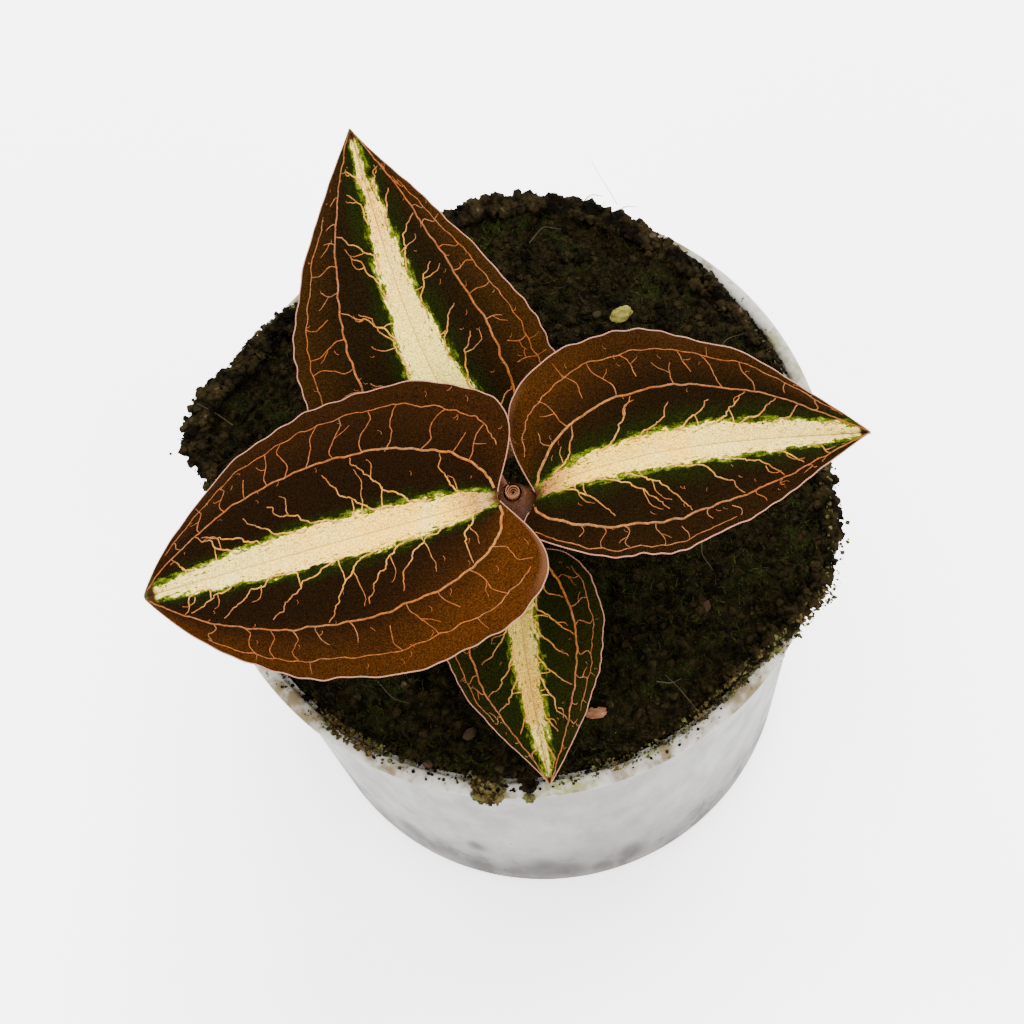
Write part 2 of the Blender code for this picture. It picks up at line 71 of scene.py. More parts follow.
# Degrees at which the lip's roll begins in the section, and how far it turns
LIP_FROM = -120.0
LIP_SWEEP = 300.0
CORNER_STEPS = 4
MILK_LIGHT = (0.168, 0.165, 0.157)
MILK_DULL = (0.112, 0.108, 0.099)
MILK_CLOUD = (0.100, 0.096, 0.088)
# Grey of the foot: soil seen through the wall and painted shade
FOOT_SOIL_AND_SHADE = (0.050, 0.043, 0.036)
FOOT_SPOT = (0.014, 0.011, 0.007)
SMUDGE_BROWN = (0.010, 0.0075, 0.0045)
LIP_CLEAN = (0.250, 0.238, 0.210)
LIP_STAIN = (0.090, 0.070, 0.038)
LIP_DIRT = (0.042, 0.034, 0.016)
LIP_ALGAE = (0.130, 0.138, 0.050)
# Stains run down the wall: a height counts only this much in them, which makes them taller than wide
RUN_DOWN = 0.35
# Dark smudges behind the foot of the wall: place and size in metres
SMUDGES = (
    ((-0.0060, -0.0388, 0.0130), 0.0042),
    ((-0.0095, -0.0380, 0.0060), 0.0046),
    ((-0.0025, -0.0392, 0.0100), 0.0036),
    ((0.0030, -0.0390, 0.0080), 0.0026),
    ((0.0078, -0.0389, 0.0130), 0.0034),
    ((-0.0160, -0.0368, 0.0290), 0.0024),
    ((-0.0262, -0.0300, 0.0180), 0.0032),
    ((-0.0165, -0.0355, 0.0080), 0.0042),
    ((-0.0215, -0.0325, 0.0110), 0.0036),
    ((0.0150, 0.0362, 0.0120), 0.0040),
    ((-0.0330, 0.0215, 0.0150), 0.0042),
)


def add_node(tree, kind, inputs=None, **settings):
    """Add one node, set its options and set or link its inputs."""
    item = tree.nodes.new(kind)
    for key, value in settings.items():
        setattr(item, key, value)
    for key, value in (inputs or {}).items():
        if isinstance(value, bpy.types.NodeSocket):
            tree.links.new(value, item.inputs[key])
        else:
            item.inputs[key].default_value = value
    return item


def work_out(tree, operation, first, second=0.0):
    """One number worked out from two."""
    return add_node(tree, "ShaderNodeMath", {0: first, 1: second}, operation=operation).outputs[0]


def plus(tree, first, second):
    """Sum of two numbers."""
    return work_out(tree, "ADD", first, second)


def times(tree, first, second):
    """Product of two numbers."""
    return work_out(tree, "MULTIPLY", first, second)


def off_middle(tree, pattern, amount=1.0):
    """A pattern between 0 and 1 moved to lie about 0, and scaled."""
    centred = work_out(tree, "SUBTRACT", pattern, 0.5)
    return centred if amount == 1.0 else times(tree, centred, amount)


def blend(tree, share, first, second, kind="MIX"):
    """Colour between the first and the second, each a colour of three numbers or a socket."""
    first, second = [(*color, 1.0) if isinstance(color, tuple) else color for color in (first, second)]
    inputs = {0: share, 6: first, 7: second}
    return add_node(tree, "ShaderNodeMix", inputs, data_type="RGBA", blend_type=kind).outputs[2]


def multiply(tree, color, pattern):
    """Colour darkened or brightened by a pattern."""
    return blend(tree, 1.0, color, pattern, "MULTIPLY")


def step(tree, value, low, high):
    """Soft step from 0 at low to 1 at high."""
    inputs = {"Value": value, "From Min": low, "From Max": high}
    return add_node(tree, "ShaderNodeMapRange", inputs, interpolation_type="SMOOTHSTEP").outputs[0]


def cloud(tree, place, scale, detail=3.0, roughness=0.55):
    """Noise between 0 and 1 at a place."""
    inputs = {"Vector": place, "Scale": scale, "Detail": detail, "Roughness": roughness}
    return add_node(tree, "ShaderNodeTexNoise", inputs).outputs[0]


def new_material(name, roughness, sheen=0.0, specular=0.5):
    """A material, its tree, its shader and its Object coordinates."""
    material = bpy.data.materials.new(name)
    material.use_nodes = True
    tree = material.node_tree
    shader = tree.nodes["Principled BSDF"]
    shader.inputs["Roughness"].default_value = roughness
    shader.inputs["Sheen Weight"].default_value = sheen
    shader.inputs["Specular IOR Level"].default_value = specular
    place = add_node(tree, "ShaderNodeTexCoord").outputs["Object"]
    return material, tree, shader, place


def cover(tree, shader, color, height, distance, strength=1.0):
    """Give the shader its colour and raise the surface by a height pattern."""
    tree.links.new(color, shader.inputs["Base Color"])
    bump = add_node(tree, "ShaderNodeBump", {"Height": height, "Distance": distance, "Strength": strength})
    tree.links.new(bump.outputs[0], shader.inputs["Normal"])


def new_tree(name, sizes):
    """A Geometry Nodes tree with its input and output and one named input for each size."""
    tree = bpy.data.node_groups.new(name, "GeometryNodeTree")
    tree.interface.new_socket("Geometry", in_out="INPUT", socket_type="NodeSocketGeometry")
    tree.interface.new_socket("Geometry", in_out="OUTPUT", socket_type="NodeSocketGeometry")
    for label, kind in sizes:
        tree.interface.new_socket(label, in_out="INPUT", socket_type=kind)
    return tree, tree.nodes.new("NodeGroupInput"), tree.nodes.new("NodeGroupOutput")


def end_tree(tree, geometry, outgoing, material):
    """Make instances real, give the material and end the tree."""
    real = add_node(tree, "GeometryNodeRealizeInstances", {"Geometry": geometry})
    painted = add_node(tree, "GeometryNodeSetMaterial", {"Geometry": real.outputs[0], "Material": material})
    tree.links.new(painted.outputs[0], outgoing.inputs[0])


def mesh_object(name, vertices, faces=(), edges=()):
    """A named object from vertices, edges and faces."""
    mesh = bpy.data.meshes.new(name)
    mesh.from_pydata([tuple(vertex) for vertex in vertices], list(edges), list(faces))
    mesh.update()
    item = bpy.data.objects.new(name, mesh)
    bpy.context.scene.collection.objects.link(item)
    return item


def run_tree(item, tree, values):
    """Run the tree on the object with the given sizes and keep the result as its plain mesh."""
    modifier = item.modifiers.new(tree.name, "NODES")
    modifier.node_group = tree
    for socket in tree.interface.items_tree:
        if socket.in_out == "INPUT" and socket.name in values:
            modifier[socket.identifier] = values[socket.name]
    bpy.context.view_layer.update()
    evaluated = item.evaluated_get(bpy.context.evaluated_depsgraph_get())
    result = bpy.data.meshes.new_from_object(evaluated)
    item.modifiers.clear()
    item.data = result
    kept = [material for material in result.materials if material]
    result.materials.clear()
    for material in kept:
        result.materials.append(material)
    result.polygons.foreach_set("material_index", [0] * len(result.polygons))


def face_outwards(item):
    """Merge doubles and turn every face outwards."""
    bm = bmesh.new()
    bm.from_mesh(item.data)
    bmesh.ops.remove_doubles(bm, verts=bm.verts, dist=1e-7)
    bmesh.ops.recalc_face_normals(bm, faces=bm.faces)
    bm.to_mesh(item.data)
    bm.free()


def wall_radius(z):
    """Outer radius of the tapering wall."""
    top = POT_LIP_RADIUS - 2.0 * LIP_ROLL + 0.5 * POT_WALL
    return POT_BASE_RADIUS + (top - POT_BASE_RADIUS) * z / POT_HEIGHT


def round_corner(before, corner, after, radius, steps):
    """Points of a rounded corner of the section."""
    start = corner + (before - corner).normalized() * radius
    end = corner + (after - corner).normalized() * radius
    shares = [index / steps for index in range(steps + 1)]
    return [start.lerp(corner, share).lerp(corner.lerp(end, share), share) for share in shares]


def pot_section():
    """Section of the pot from the middle of its underside, up outside, round the lip and down inside."""
    lip_r = POT_LIP_RADIUS - LIP_ROLL
    lip_z = POT_HEIGHT - LIP_ROLL
    neck_z = lip_z - 1.4 * LIP_ROLL
    corners = [
        Vector((0.0, 0.0)),
        Vector((CHANNEL_INNER, 0.0)),
        Vector((CHANNEL_INNER + MM, CHANNEL_RISE)),
        Vector((CHANNEL_OUTER - MM, CHANNEL_RISE)),
        Vector((CHANNEL_OUTER, 0.0)),
        Vector((POT_BASE_RADIUS, 0.0)),
        Vector((wall_radius(neck_z), neck_z)),
    ]
    corner_radii = [0.3, 0.4, 0.4, 0.3, 1.6]
    points = [corners[0]]
    for index, size in enumerate(corner_radii, start=1):
        before, corner, after = corners[index - 1:index + 2]
        points += round_corner(before, corner, after, size * MM, CORNER_STEPS)
    wall_foot = points[-1]
    points += [wall_foot.lerp(corners[-1], (index + 1) / WALL_STEPS) for index in range(WALL_STEPS)]
    for index in range(LIP_STEPS + 1):
        turn = radians(LIP_FROM + LIP_SWEEP * index / LIP_STEPS)
        points.append(Vector((lip_r + LIP_ROLL * cos(turn), lip_z + LIP_ROLL * sin(turn))))
    inside_top = Vector((wall_radius(lip_z) - POT_WALL, lip_z))
    inside_foot = Vector((wall_radius(FLOOR_TOP) - POT_WALL, FLOOR_TOP))
    points += [inside_top.lerp(inside_foot, index / 10) for index in range(9)]
    points += round_corner(inside_top, inside_foot, Vector((0.0, FLOOR_TOP)), MM, CORNER_STEPS)
    points.append(Vector((0.0, FLOOR_TOP)))
    return points


def turning_tree(material):
    """Turn a section of points about the upright axis."""
    sizes = (("Points", "NodeSocketInt"), ("Segments", "NodeSocketInt"))
    tree, start, outgoing = new_tree("turn_section", sizes)
    around = plus(tree, start.outputs["Segments"], 1.0)
    counts = {"Vertices X": start.outputs["Points"], "Vertices Y": around, "Size X": 1.0, "Size Y": 1.0}
    grid = add_node(tree, "GeometryNodeMeshGrid", counts)
    here = add_node(tree, "GeometryNodeInputPosition").outputs[0]
    spot = add_node(tree, "ShaderNodeSeparateXYZ", {0: here})
    last = work_out(tree, "SUBTRACT", start.outputs["Points"], 1.0)
    row = work_out(tree, "ROUND", times(tree, plus(tree, spot.outputs[0], 0.5), last))
    turn = times(tree, plus(tree, spot.outputs[1], 0.5), 2.0 * pi)
    looked_up = {"Geometry": start.outputs["Geometry"], "Value": here, "Index": row}
    point = add_node(tree, "GeometryNodeSampleIndex", looked_up, data_type="FLOAT_VECTOR").outputs[0]
    about_z = {"Vector": point, "Angle": turn}
    turned = add_node(tree, "ShaderNodeVectorRotate", about_z, rotation_type="Z_AXIS")
    moved = {"Geometry": grid.outputs[0], "Position": turned.outputs[0]}
    shell = add_node(tree, "GeometryNodeSetPosition", moved)
    closed = add_node(tree, "GeometryNodeMergeByDistance", {"Geometry": shell.outputs[0], "Distance": 1e-6})
    smooth = add_node(tree, "GeometryNodeSetShadeSmooth", {"Geometry": closed.outputs[0]})
    end_tree(tree, smooth.outputs[0], outgoing, material)
    return tree


def pot_plastic():
    """Milky plastic with grey soil clouds, soil and painted shade at its foot, smudges there and stains on
    the lip.
    """
    material, tree, shader, place = new_material("milky_plastic", 0.4, specular=0.012)
    height = add_node(tree, "ShaderNodeSeparateXYZ", {0: place}).outputs[2]
    squash = {0: place, 1: (1.0, 1.0, RUN_DOWN)}
    runny = add_node(tree, "ShaderNodeVectorMath", squash, operation="MULTIPLY").outputs[0]
    wide = cloud(tree, runny, 75.0, 4.0, 0.6)
    small = cloud(tree, runny, 240.0, 3.0, 0.6)
    fine = cloud(tree, place, 900.0, 3.0, 0.65)
    milk = blend(tree, step(tree, wide, 0.35, 0.7), MILK_LIGHT, MILK_DULL)
    milk = blend(tree, times(tree, step(tree, small, 0.4, 0.7), 0.4), milk, MILK_CLOUD)
    low = plus(tree, height, off_middle(tree, wide, 0.04))
    # Darker towards the foot: soil seen through the wall and painted shade.
    dim = blend(tree, step(tree, low, 0.042, 0.004), milk, FOOT_SOIL_AND_SHADE)
    foot_spots = times(tree, step(tree, small, 0.48, 0.64), step(tree, low, 0.026, 0.008))
    dim = blend(tree, foot_spots, dim, FOOT_SPOT)
    for spot, size in SMUDGES:
        apart = {0: runny, 1: (spot[0], spot[1], RUN_DOWN * spot[2])}
        offset = add_node(tree, "ShaderNodeVectorMath", apart, operation="DISTANCE").outputs["Value"]
        uneven = plus(tree, offset, off_middle(tree, small, 1.6 * size))
        inside = times(tree, step(tree, uneven, size, 0.3 * size), 0.9)
        dim = blend(tree, inside, dim, SMUDGE_BROWN)
    near_lip = step(tree, height, POT_HEIGHT - 3.2 * MM, POT_HEIGHT - 1.0 * MM)
    smears = blend(tree, step(tree, small, 0.42, 0.66), LIP_CLEAN, LIP_STAIN)
    smears = blend(tree, step(tree, fine, 0.60, 0.72), smears, LIP_DIRT)
    green = times(tree, step(tree, wide, 0.52, 0.62), step(tree, fine, 0.42, 0.56))
    smears = blend(tree, green, smears, LIP_ALGAE)
    cover(tree, shader, blend(tree, near_lip, dim, smears), wide, 0.0003, 0.5)
    tree.links.new(plus(tree, times(tree, small, 0.3), 0.2), shader.inputs["Roughness"])
    shader.inputs["Subsurface Weight"].default_value = 0.12
    shader.inputs["Subsurface Radius"].default_value = (0.004, 0.004, 0.004)
    shader.inputs["Subsurface Scale"].default_value = 0.5
    return material


section = pot_section()
plastic = pot_plastic()
pot = mesh_object("pot_shell", [(point.x, 0.0, point.y) for point in section])
run_tree(pot, turning_tree(plastic), {"Points": len(section), "Segments": POT_SEGMENTS})
face_outwards(pot)
drains = bmesh.new()
for index in range(DRAIN_COUNT):
    turn = 2.0 * pi * (index + 0.5) / DRAIN_COUNT
    spot = Matrix.Translation((DRAIN_CIRCLE * cos(turn), DRAIN_CIRCLE * sin(turn), 0.5 * FLOOR_TOP))
    bmesh.ops.create_cone(drains, cap_ends=True, segments=32, radius1=DRAIN_RADIUS, radius2=DRAIN_RADIUS,
                          depth=3.0 * FLOOR_TOP, matrix=spot)
drain_cutter = mesh_object("drain_cutter", [])
drains.to_mesh(drain_cutter.data)
drains.free()
cut = pot.modifiers.new("drains", "BOOLEAN")
cut.operation = "DIFFERENCE"
cut.object = drain_cutter
bpy.context.view_layer.update()
pot.data = bpy.data.meshes.new_from_object(pot.evaluated_get(bpy.context.evaluated_depsgraph_get()))
pot.modifiers.clear()
bpy.data.objects.remove(drain_cutter, do_unlink=True)
pot.data.set_sharp_from_angle(angle=radians(50.0))
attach(pot, "root")
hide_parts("pot")


# Soil
# Dark, damp peat pressed into the pot, level with the lip. It dips inside the lip at the front and spills
# over it at the back, the left and the right, and its crumbly top is green with fine moss in places.

GAP = 0.3 * MM
SOIL_WALL_GAP = 0.5 * MM
SOIL_EDGE = 1.0 * MM
SOIL_MOUND = 1.2 * MM
SOIL_ROUGHNESS = 0.9 * MM
SOIL_GRAIN = 5.0 * MM
SOIL_SINK = 0.9 * MM
SOIL_SHOULDER = 9.0 * MM
SOIL_CALM = 1.5 * MM
SOIL_RINGS = 78
SOIL_SEGMENTS = 300
CRUMB_RELIEF = 0.75 * MM
CRUMB_SIZE = 1.5 * MM
SPILL_CLEARANCE = 0.35 * MM
SPILL_DROOP = 0.45
# Each spill over the wall: direction and half width in degrees, and reach beyond the wall
SPILLS = (
    (75.0, 34.0, 4.4 * MM),
    (136.0, 11.0, 2.9 * MM),
    (157.5, 12.5, 8.0 * MM),
    (342.0, 19.0, 5.4 * MM),
    (331.0, 6.0, 1.2 * MM),
    (320.0, 8.0, 1.6 * MM),
    (255.0, 4.0, 2.2 * MM),
)
STEM_FOOT = Vector((-0.4, -8.4, 72.0)) * MM
STEM_TOP = Vector((-0.7, -9.3, 109.4)) * MM
STEM_FOOT_RADIUS = 2.4 * MM
STEM_TOP_RADIUS = 1.5 * MM
CHIP_BACK = Vector((19.5, 23.0, 0.0)) * MM
CHIP_FRONT = Vector((5.2, -34.9, 0.0)) * MM
CHIP_SEAT = 2.3 * MM
PEAT_BLACK = (0.0022, 0.0018, 0.0006)
PEAT_BROWN = (0.0110, 0.0082, 0.0026)
PEAT_TAN = (0.05, 0.04, 0.022)
DULL_MOSS = (0.0032, 0.0042, 0.0008)
FRESH_MOSS = (0.0125, 0.0155, 0.0026)


def soil_radius(z):
    """Radius of the soil inside the wall."""
    return wall_radius(z) - POT_WALL - SOIL_WALL_GAP


def spill_reach(turn):
    """How far the soil laps over the wall in a direction; negative where it stays inside."""
    degrees = turn * 180.0 / pi
    reach = -SOIL_SINK
    for direction, half_width, amount in SPILLS:
        away = (degrees - direction + 180.0) % 360.0 - 180.0
        reach += amount * exp(-(away / half_width) ** 2)
    return reach


def stem_center(z):
    """Centre of the stem at a height."""
    return STEM_FOOT.lerp(STEM_TOP, (z - STEM_FOOT.z) / (STEM_TOP.z - STEM_FOOT.z))


def soil_height(x, y, edge_z, inward):
    """Height of the crumbly surface, from its edge inwards."""
    level = POT_HEIGHT + SOIL_MOUND
    grain = noise.fractal(Vector((x, y, 0.0)) / SOIL_GRAIN, 1.0, 2.0, 3) * SOIL_ROUGHNESS
    swell = noise.noise(Vector((x, y, 3.0 * MM)) / (3.5 * SOIL_GRAIN)) * SOIL_ROUGHNESS
    z = edge_z + (level - edge_z) * min(1.0, inward / SOIL_SHOULDER)
    crumbs = noise.turbulence(Vector((x, y, 7.0 * MM)) / CRUMB_SIZE, 4, False) - 0.55
    rough = (grain + swell) * min(1.0, inward / SOIL_CALM) + crumbs * CRUMB_RELIEF
    mouth = stem_center(POT_HEIGHT)
    hole = sqrt((x - mouth.x) ** 2 + (y - mouth.y) ** 2)
    rough *= min(1.0, max(0.0, hole / STEM_FOOT_RADIUS - 1.0))
    for seat in (CHIP_BACK, CHIP_FRONT):
        distance = sqrt((x - seat.x) ** 2 + (y - seat.y) ** 2)
        rough *= min(1.0, max(0.0, distance / CHIP_SEAT - 0.6))
    return z + rough


def soil_edge(turn):
    """Lap over the wall, edge radius and height of the underside in a direction."""
    ray = Vector((cos(turn), sin(turn), 0.0))
    reach = spill_reach(turn)
    lap = max(0.0, reach) * (1.0 + 0.25 * noise.noise(ray * 7.0))
    ragged = noise.fractal(ray * 60.0, 0.8, 2.1, 3) * min(1.0, lap / MM) * 0.8 * MM
    return lap, soil_radius(POT_HEIGHT) + lap + ragged, POT_HEIGHT + SPILL_CLEARANCE + min(0.0, reach)


def soil_column(turn):
    """Points in one direction: from the stem's hole over the surface, round the edge and to the floor."""
    ray = Vector((cos(turn), sin(turn), 0.0))
    lap, edge_r, rest_z = soil_edge(turn)
    bore = ray * (STEM_FOOT_RADIUS + GAP)
    column = [STEM_FOOT + bore - Vector((0.0, 0.0, GAP))]
    mouth = stem_center(POT_HEIGHT) + bore
    mouth.z = 0.0
    for ring in range(SOIL_RINGS):
        spot = mouth.lerp(ray * edge_r, (ring / (SOIL_RINGS - 1)) ** 0.8)
        spot.z = soil_height(spot.x, spot.y, rest_z + SOIL_EDGE, edge_r - spot.length)
        column.append(spot)
    floor_z = FLOOR_TOP + 0.35 * MM
    low_z = floor_z + MM
    clear_r = POT_LIP_RADIUS + GAP
    droop = max(0.0, edge_r - clear_r) * SPILL_DROOP
    tucked = max(0.0, 1.0 - lap / MM)
    run = (
        (edge_r - 0.06 * lap, rest_z + 0.4 * MM * tucked - droop),
        (min(soil_radius(POT_HEIGHT) + 0.85 * lap, clear_r), rest_z + 0.2 * MM * tucked),
        (soil_radius(POT_HEIGHT), rest_z),
        (soil_radius(0.5 * POT_HEIGHT), 0.5 * POT_HEIGHT),
        (soil_radius(low_z), low_z),
        (soil_radius(floor_z) - MM, floor_z),
    )
    return column + [ray * radius + Vector((0.0, 0.0, z)) for radius, z in run]


def peat():
    """Near-black peat with brown crumbs, tan bits and patches of dull green moss."""
    material, tree, shader, place = new_material("damp_peat", 0.9, specular=0.02)
    patch = cloud(tree, place, 130.0, 3.0)
    crumb = cloud(tree, place, 700.0, 4.0, 0.65)
    speck = cloud(tree, place, 2600.0, 2.0, 0.7)
    brown = blend(tree, step(tree, crumb, 0.35, 0.7), PEAT_BLACK, PEAT_BROWN)
    mossy = blend(tree, step(tree, speck, 0.35, 0.75), DULL_MOSS, FRESH_MOSS)
    color = blend(tree, step(tree, patch, 0.52, 0.66), brown, mossy)
    bits = times(tree, step(tree, speck, 0.66, 0.74), step(tree, crumb, 0.5, 0.62))
    color = blend(tree, bits, color, PEAT_TAN)
    cover(tree, shader, color, plus(tree, crumb, times(tree, speck, 0.5)), 0.0008)
    return material


columns = [soil_column(2.0 * pi * segment / SOIL_SEGMENTS) for segment in range(SOIL_SEGMENTS)]
depth = len(columns[0])
points = [point for column in columns for point in column]
faces = [tuple(column * depth for column in range(SOIL_SEGMENTS))]
faces.append(tuple(column * depth + depth - 1 for column in reversed(range(SOIL_SEGMENTS))))
for column in range(SOIL_SEGMENTS):
    following = (column + 1) % SOIL_SEGMENTS
    for row in range(depth - 1):
        near = column * depth + row
        far = following * depth + row
        faces.append((near, near + 1, far + 1, far))
soil = mesh_object("soil_mass", points, faces)
face_outwards(soil)
soil.data.shade_smooth()
soil.data.materials.append(peat())
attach(soil, "root")
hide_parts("soil")


# Crumbs and moss on the soil
# Loose peat crumbs of all sizes lie over the whole surface and on the lip, with short moss shoots between
# them. Pale moss and an ochre crust cling to the lip. They only lie there, or grow on what they touch.

CRUMB_COUNT = 5200
CRUMB_SMALL = 0.14 * MM
CRUMB_LARGE = 0.85 * MM
MOSS_COUNT = 17000
MOSS_SHORT = 0.4 * MM
MOSS_LONG = 1.3 * MM
SCATTER_FROM = POT_HEIGHT - 1.5 * MM
SHOOT_LEAN = 1.1
CRUMB_BLACK = (0.0017, 0.0013, 0.0004)
CRUMB_BROWN = (0.0135, 0.0092, 0.0032)
CRUMB_TAN = (0.040, 0.031, 0.017)
SHADE_DOWN = (0.55, 0.55, 0.55)
SHADE_UP = (1.3, 1.3, 1.3)
FUZZ_BLACK = (0.0018, 0.0015, 0.0005)
FUZZ_BROWN = (0.0150, 0.0105, 0.0036)
SHOOT_DARK = (0.0036, 0.0052, 0.0009)
SHOOT_GREEN = (0.0185, 0.0230, 0.0040)
LIP_MOSS_DARK = (0.012, 0.012, 0.0025)
LIP_MOSS_PALE = (0.056, 0.056, 0.018)
OCHRE_DARK = (0.012, 0.0078, 0.0022)
OCHRE_PALE = (0.060, 0.041, 0.013)


def scatter_tree(name, material, shape, upright):
    """Set one small shape on points of the surface, by a seeded draw."""
    sizes = [(label, "NodeSocketFloat") for label in ("Density", "Smallest", "Largest")]
    tree, start, outgoing = new_tree(name, [*sizes, ("Seed", "NodeSocketInt")])
    normal = add_node(tree, "GeometryNodeInputNormal").outputs[0]
    here = add_node(tree, "GeometryNodeInputPosition").outputs[0]
    slope = add_node(tree, "ShaderNodeSeparateXYZ", {0: normal}).outputs[2]
    height = add_node(tree, "ShaderNodeSeparateXYZ", {0: here}).outputs[2]
    facing = work_out(tree, "GREATER_THAN", slope, 0.05)
    above = work_out(tree, "GREATER_THAN", height, SCATTER_FROM)
    spread = {"Mesh": start.outputs["Geometry"], "Density": start.outputs["Density"],
              "Selection": times(tree, facing, above), "Seed": start.outputs["Seed"]}
    dots = add_node(tree, "GeometryNodeDistributePointsOnFaces", spread)
    draw = {"Seed": start.outputs["Seed"], 0: (-SHOOT_LEAN, -SHOOT_LEAN, 0.0),
            1: (SHOOT_LEAN, SHOOT_LEAN, 2.0 * pi)}
    if not upright:
        draw[0] = (0.0, 0.0, 0.0)
        draw[1] = (2.0 * pi, 2.0 * pi, 2.0 * pi)
    turn = add_node(tree, "FunctionNodeRandomValue", draw, data_type="FLOAT_VECTOR").outputs[0]
    share = add_node(tree, "FunctionNodeRandomValue", {"Seed": start.outputs["Seed"]}, data_type="FLOAT")
    skewed = work_out(tree, "POWER", share.outputs[1], 2.6)
    reach = work_out(tree, "SUBTRACT", start.outputs["Largest"], start.outputs["Smallest"])
    size = plus(tree, start.outputs["Smallest"], times(tree, skewed, reach))
    placed = {"Points": dots.outputs["Points"], "Instance": shape(tree), "Rotation": turn, "Scale": size}
    copies = add_node(tree, "GeometryNodeInstanceOnPoints", placed)
    end_tree(tree, copies.outputs[0], outgoing, material)
    return tree


def crumb_shape(tree):
    """A rough lump a few dozen faces round."""
    ball = add_node(tree, "GeometryNodeMeshIcoSphere", {"Radius": 1.0, "Subdivisions": 1})
    here = add_node(tree, "GeometryNodeInputPosition").outputs[0]
    bumps = add_node(tree, "ShaderNodeTexNoise", {"Vector": here, "Scale": 1.4, "Detail": 2.0}).outputs[1]
    push = add_node(tree, "ShaderNodeVectorMath", {0: bumps, 1: (0.5, 0.5, 0.5)}, operation="SUBTRACT")
    push = add_node(tree, "ShaderNodeVectorMath", {0: push.outputs[0], "Scale": 1.9}, operation="SCALE")
    moved = {"Geometry": ball.outputs[0], "Offset": push.outputs[0]}
    return add_node(tree, "GeometryNodeSetPosition", moved).outputs[0]


def shoot_shape(tree):
    """A short slim moss shoot, three-sided, with its root below the surface."""
    sizes = {"Vertices": 3, "Radius Top": 0.02, "Radius Bottom": 0.12, "Depth": 1.3}
    return add_node(tree, "GeometryNodeMeshCone", sizes).outputs[0]


def crumb_matter():
    """Peat crumbs: black to warm brown, each a little different, a few of them tan."""
    material, tree, shader, place = new_material("peat_crumbs", 0.9, specular=0.02)
    each = cloud(tree, place, 420.0, 2.0)
    fine = cloud(tree, place, 2400.0, 3.0, 0.7)
    dark = blend(tree, step(tree, each, 0.4, 0.65), CRUMB_BLACK, CRUMB_BROWN)
    tan = blend(tree, step(tree, each, 0.68, 0.76), dark, CRUMB_TAN)
    color = multiply(tree, tan, blend(tree, fine, SHADE_DOWN, SHADE_UP))
    cover(tree, shader, color, fine, 0.0004)
    return material


def moss_matter():
    """Fine fuzz on the soil: brown-black peat fibres, and dull green moss with fresher tips in patches."""
    material, tree, shader, place = new_material("fine_moss", 0.8, specular=0.02)
    patch = cloud(tree, place, 95.0, 3.0)
    fine = cloud(tree, place, 1500.0, 2.0)
    fibre = blend(tree, step(tree, fine, 0.35, 0.7), FUZZ_BLACK, FUZZ_BROWN)
    fresh = blend(tree, step(tree, fine, 0.35, 0.7), SHOOT_DARK, SHOOT_GREEN)
    color = blend(tree, step(tree, patch, 0.46, 0.60), fibre, fresh)
    cover(tree, shader, color, fine, 0.0002)
    return material


def litter_tree(name, material, shape):
    """Set one small shape on each given point, in the size that the point keeps."""
    tree, start, outgoing = new_tree(name, (("Seed", "NodeSocketInt"),))
    draw = {"Seed": start.outputs["Seed"], 0: (0.0, 0.0, 0.0), 1: (2.0 * pi, 2.0 * pi, 2.0 * pi)}
    turn = add_node(tree, "FunctionNodeRandomValue", draw, data_type="FLOAT_VECTOR").outputs[0]
    kept = add_node(tree, "GeometryNodeInputNamedAttribute", {"Name": "grain_size"}, data_type="FLOAT")
    size = kept.outputs[0]
    placed = {"Points": start.outputs["Geometry"], "Instance": shape(tree), "Rotation": turn, "Scale": size}
    copies = add_node(tree, "GeometryNodeInstanceOnPoints", placed)
    end_tree(tree, copies.outputs[0], outgoing, material)
    return tree


def write_values(mesh, name, values):
    """Keep one number per vertex under a name."""
    layer = mesh.attributes.new(name, "FLOAT", "POINT")
    layer.data.foreach_set("value", np.asarray(values, dtype=np.float32).ravel())


def lip_height(radius):
    """Height of the lip's rolled top at a radius; the rim of the wall inside it."""
    away = min(1.0, abs(radius - (POT_LIP_RADIUS - LIP_ROLL)) / LIP_ROLL)
    return POT_HEIGHT - LIP_ROLL + LIP_ROLL * sqrt(1.0 - away * away)


def heap(draw, count, middle, half_width, inward, outward, rise, smallest, largest):
    """Points of a loose heap along the soil's edge, from inward to outward of it, thinner to its ends."""
    spots = []
    for _ in range(count):
        turn = radians(middle + half_width * max(-1.6, min(1.6, draw.gauss(0.0, 0.55))))
        share = draw.random() ** 1.2
        size = smallest + (largest - smallest) * draw.random() ** 2.4
        _, edge_r, rest_z = soil_edge(turn)
        offset = inward + (outward - inward) * share
        radius = edge_r + offset
        top = rest_z + SOIL_EDGE - max(0.0, 1.2 * offset)
        if soil_radius(POT_HEIGHT) < radius < POT_LIP_RADIUS:
            top = max(top, lip_height(radius) + 0.3 * size)
        z = top + rise * (1.0 - share) * draw.random()
        spots.append((Vector((radius * cos(turn), radius * sin(turn), z)), size))
    return spots


def crust(draw, count, middle, half_width, low, high, smallest, largest):
    """Points of a crust on the outside of the lip and the wall below it, narrower at its foot."""
    spots = []
    for _ in range(count):
        share = draw.random() ** 1.5
        turn = radians(middle + half_width * (1.0 - 0.7 * share) * draw.uniform(-1.0, 1.0))
        z = high + (low - high) * share
        tuck = 0.6 * MM if z < POT_HEIGHT - 2.0 * LIP_ROLL else 0.0
        radius = max(wall_radius(z), POT_LIP_RADIUS - tuck)
        radius += 0.35 * MM * draw.random()
        size = smallest + (largest - smallest) * draw.random() ** 2.0
        spots.append((Vector((radius * cos(turn), radius * sin(turn), z)), size))
    return spots


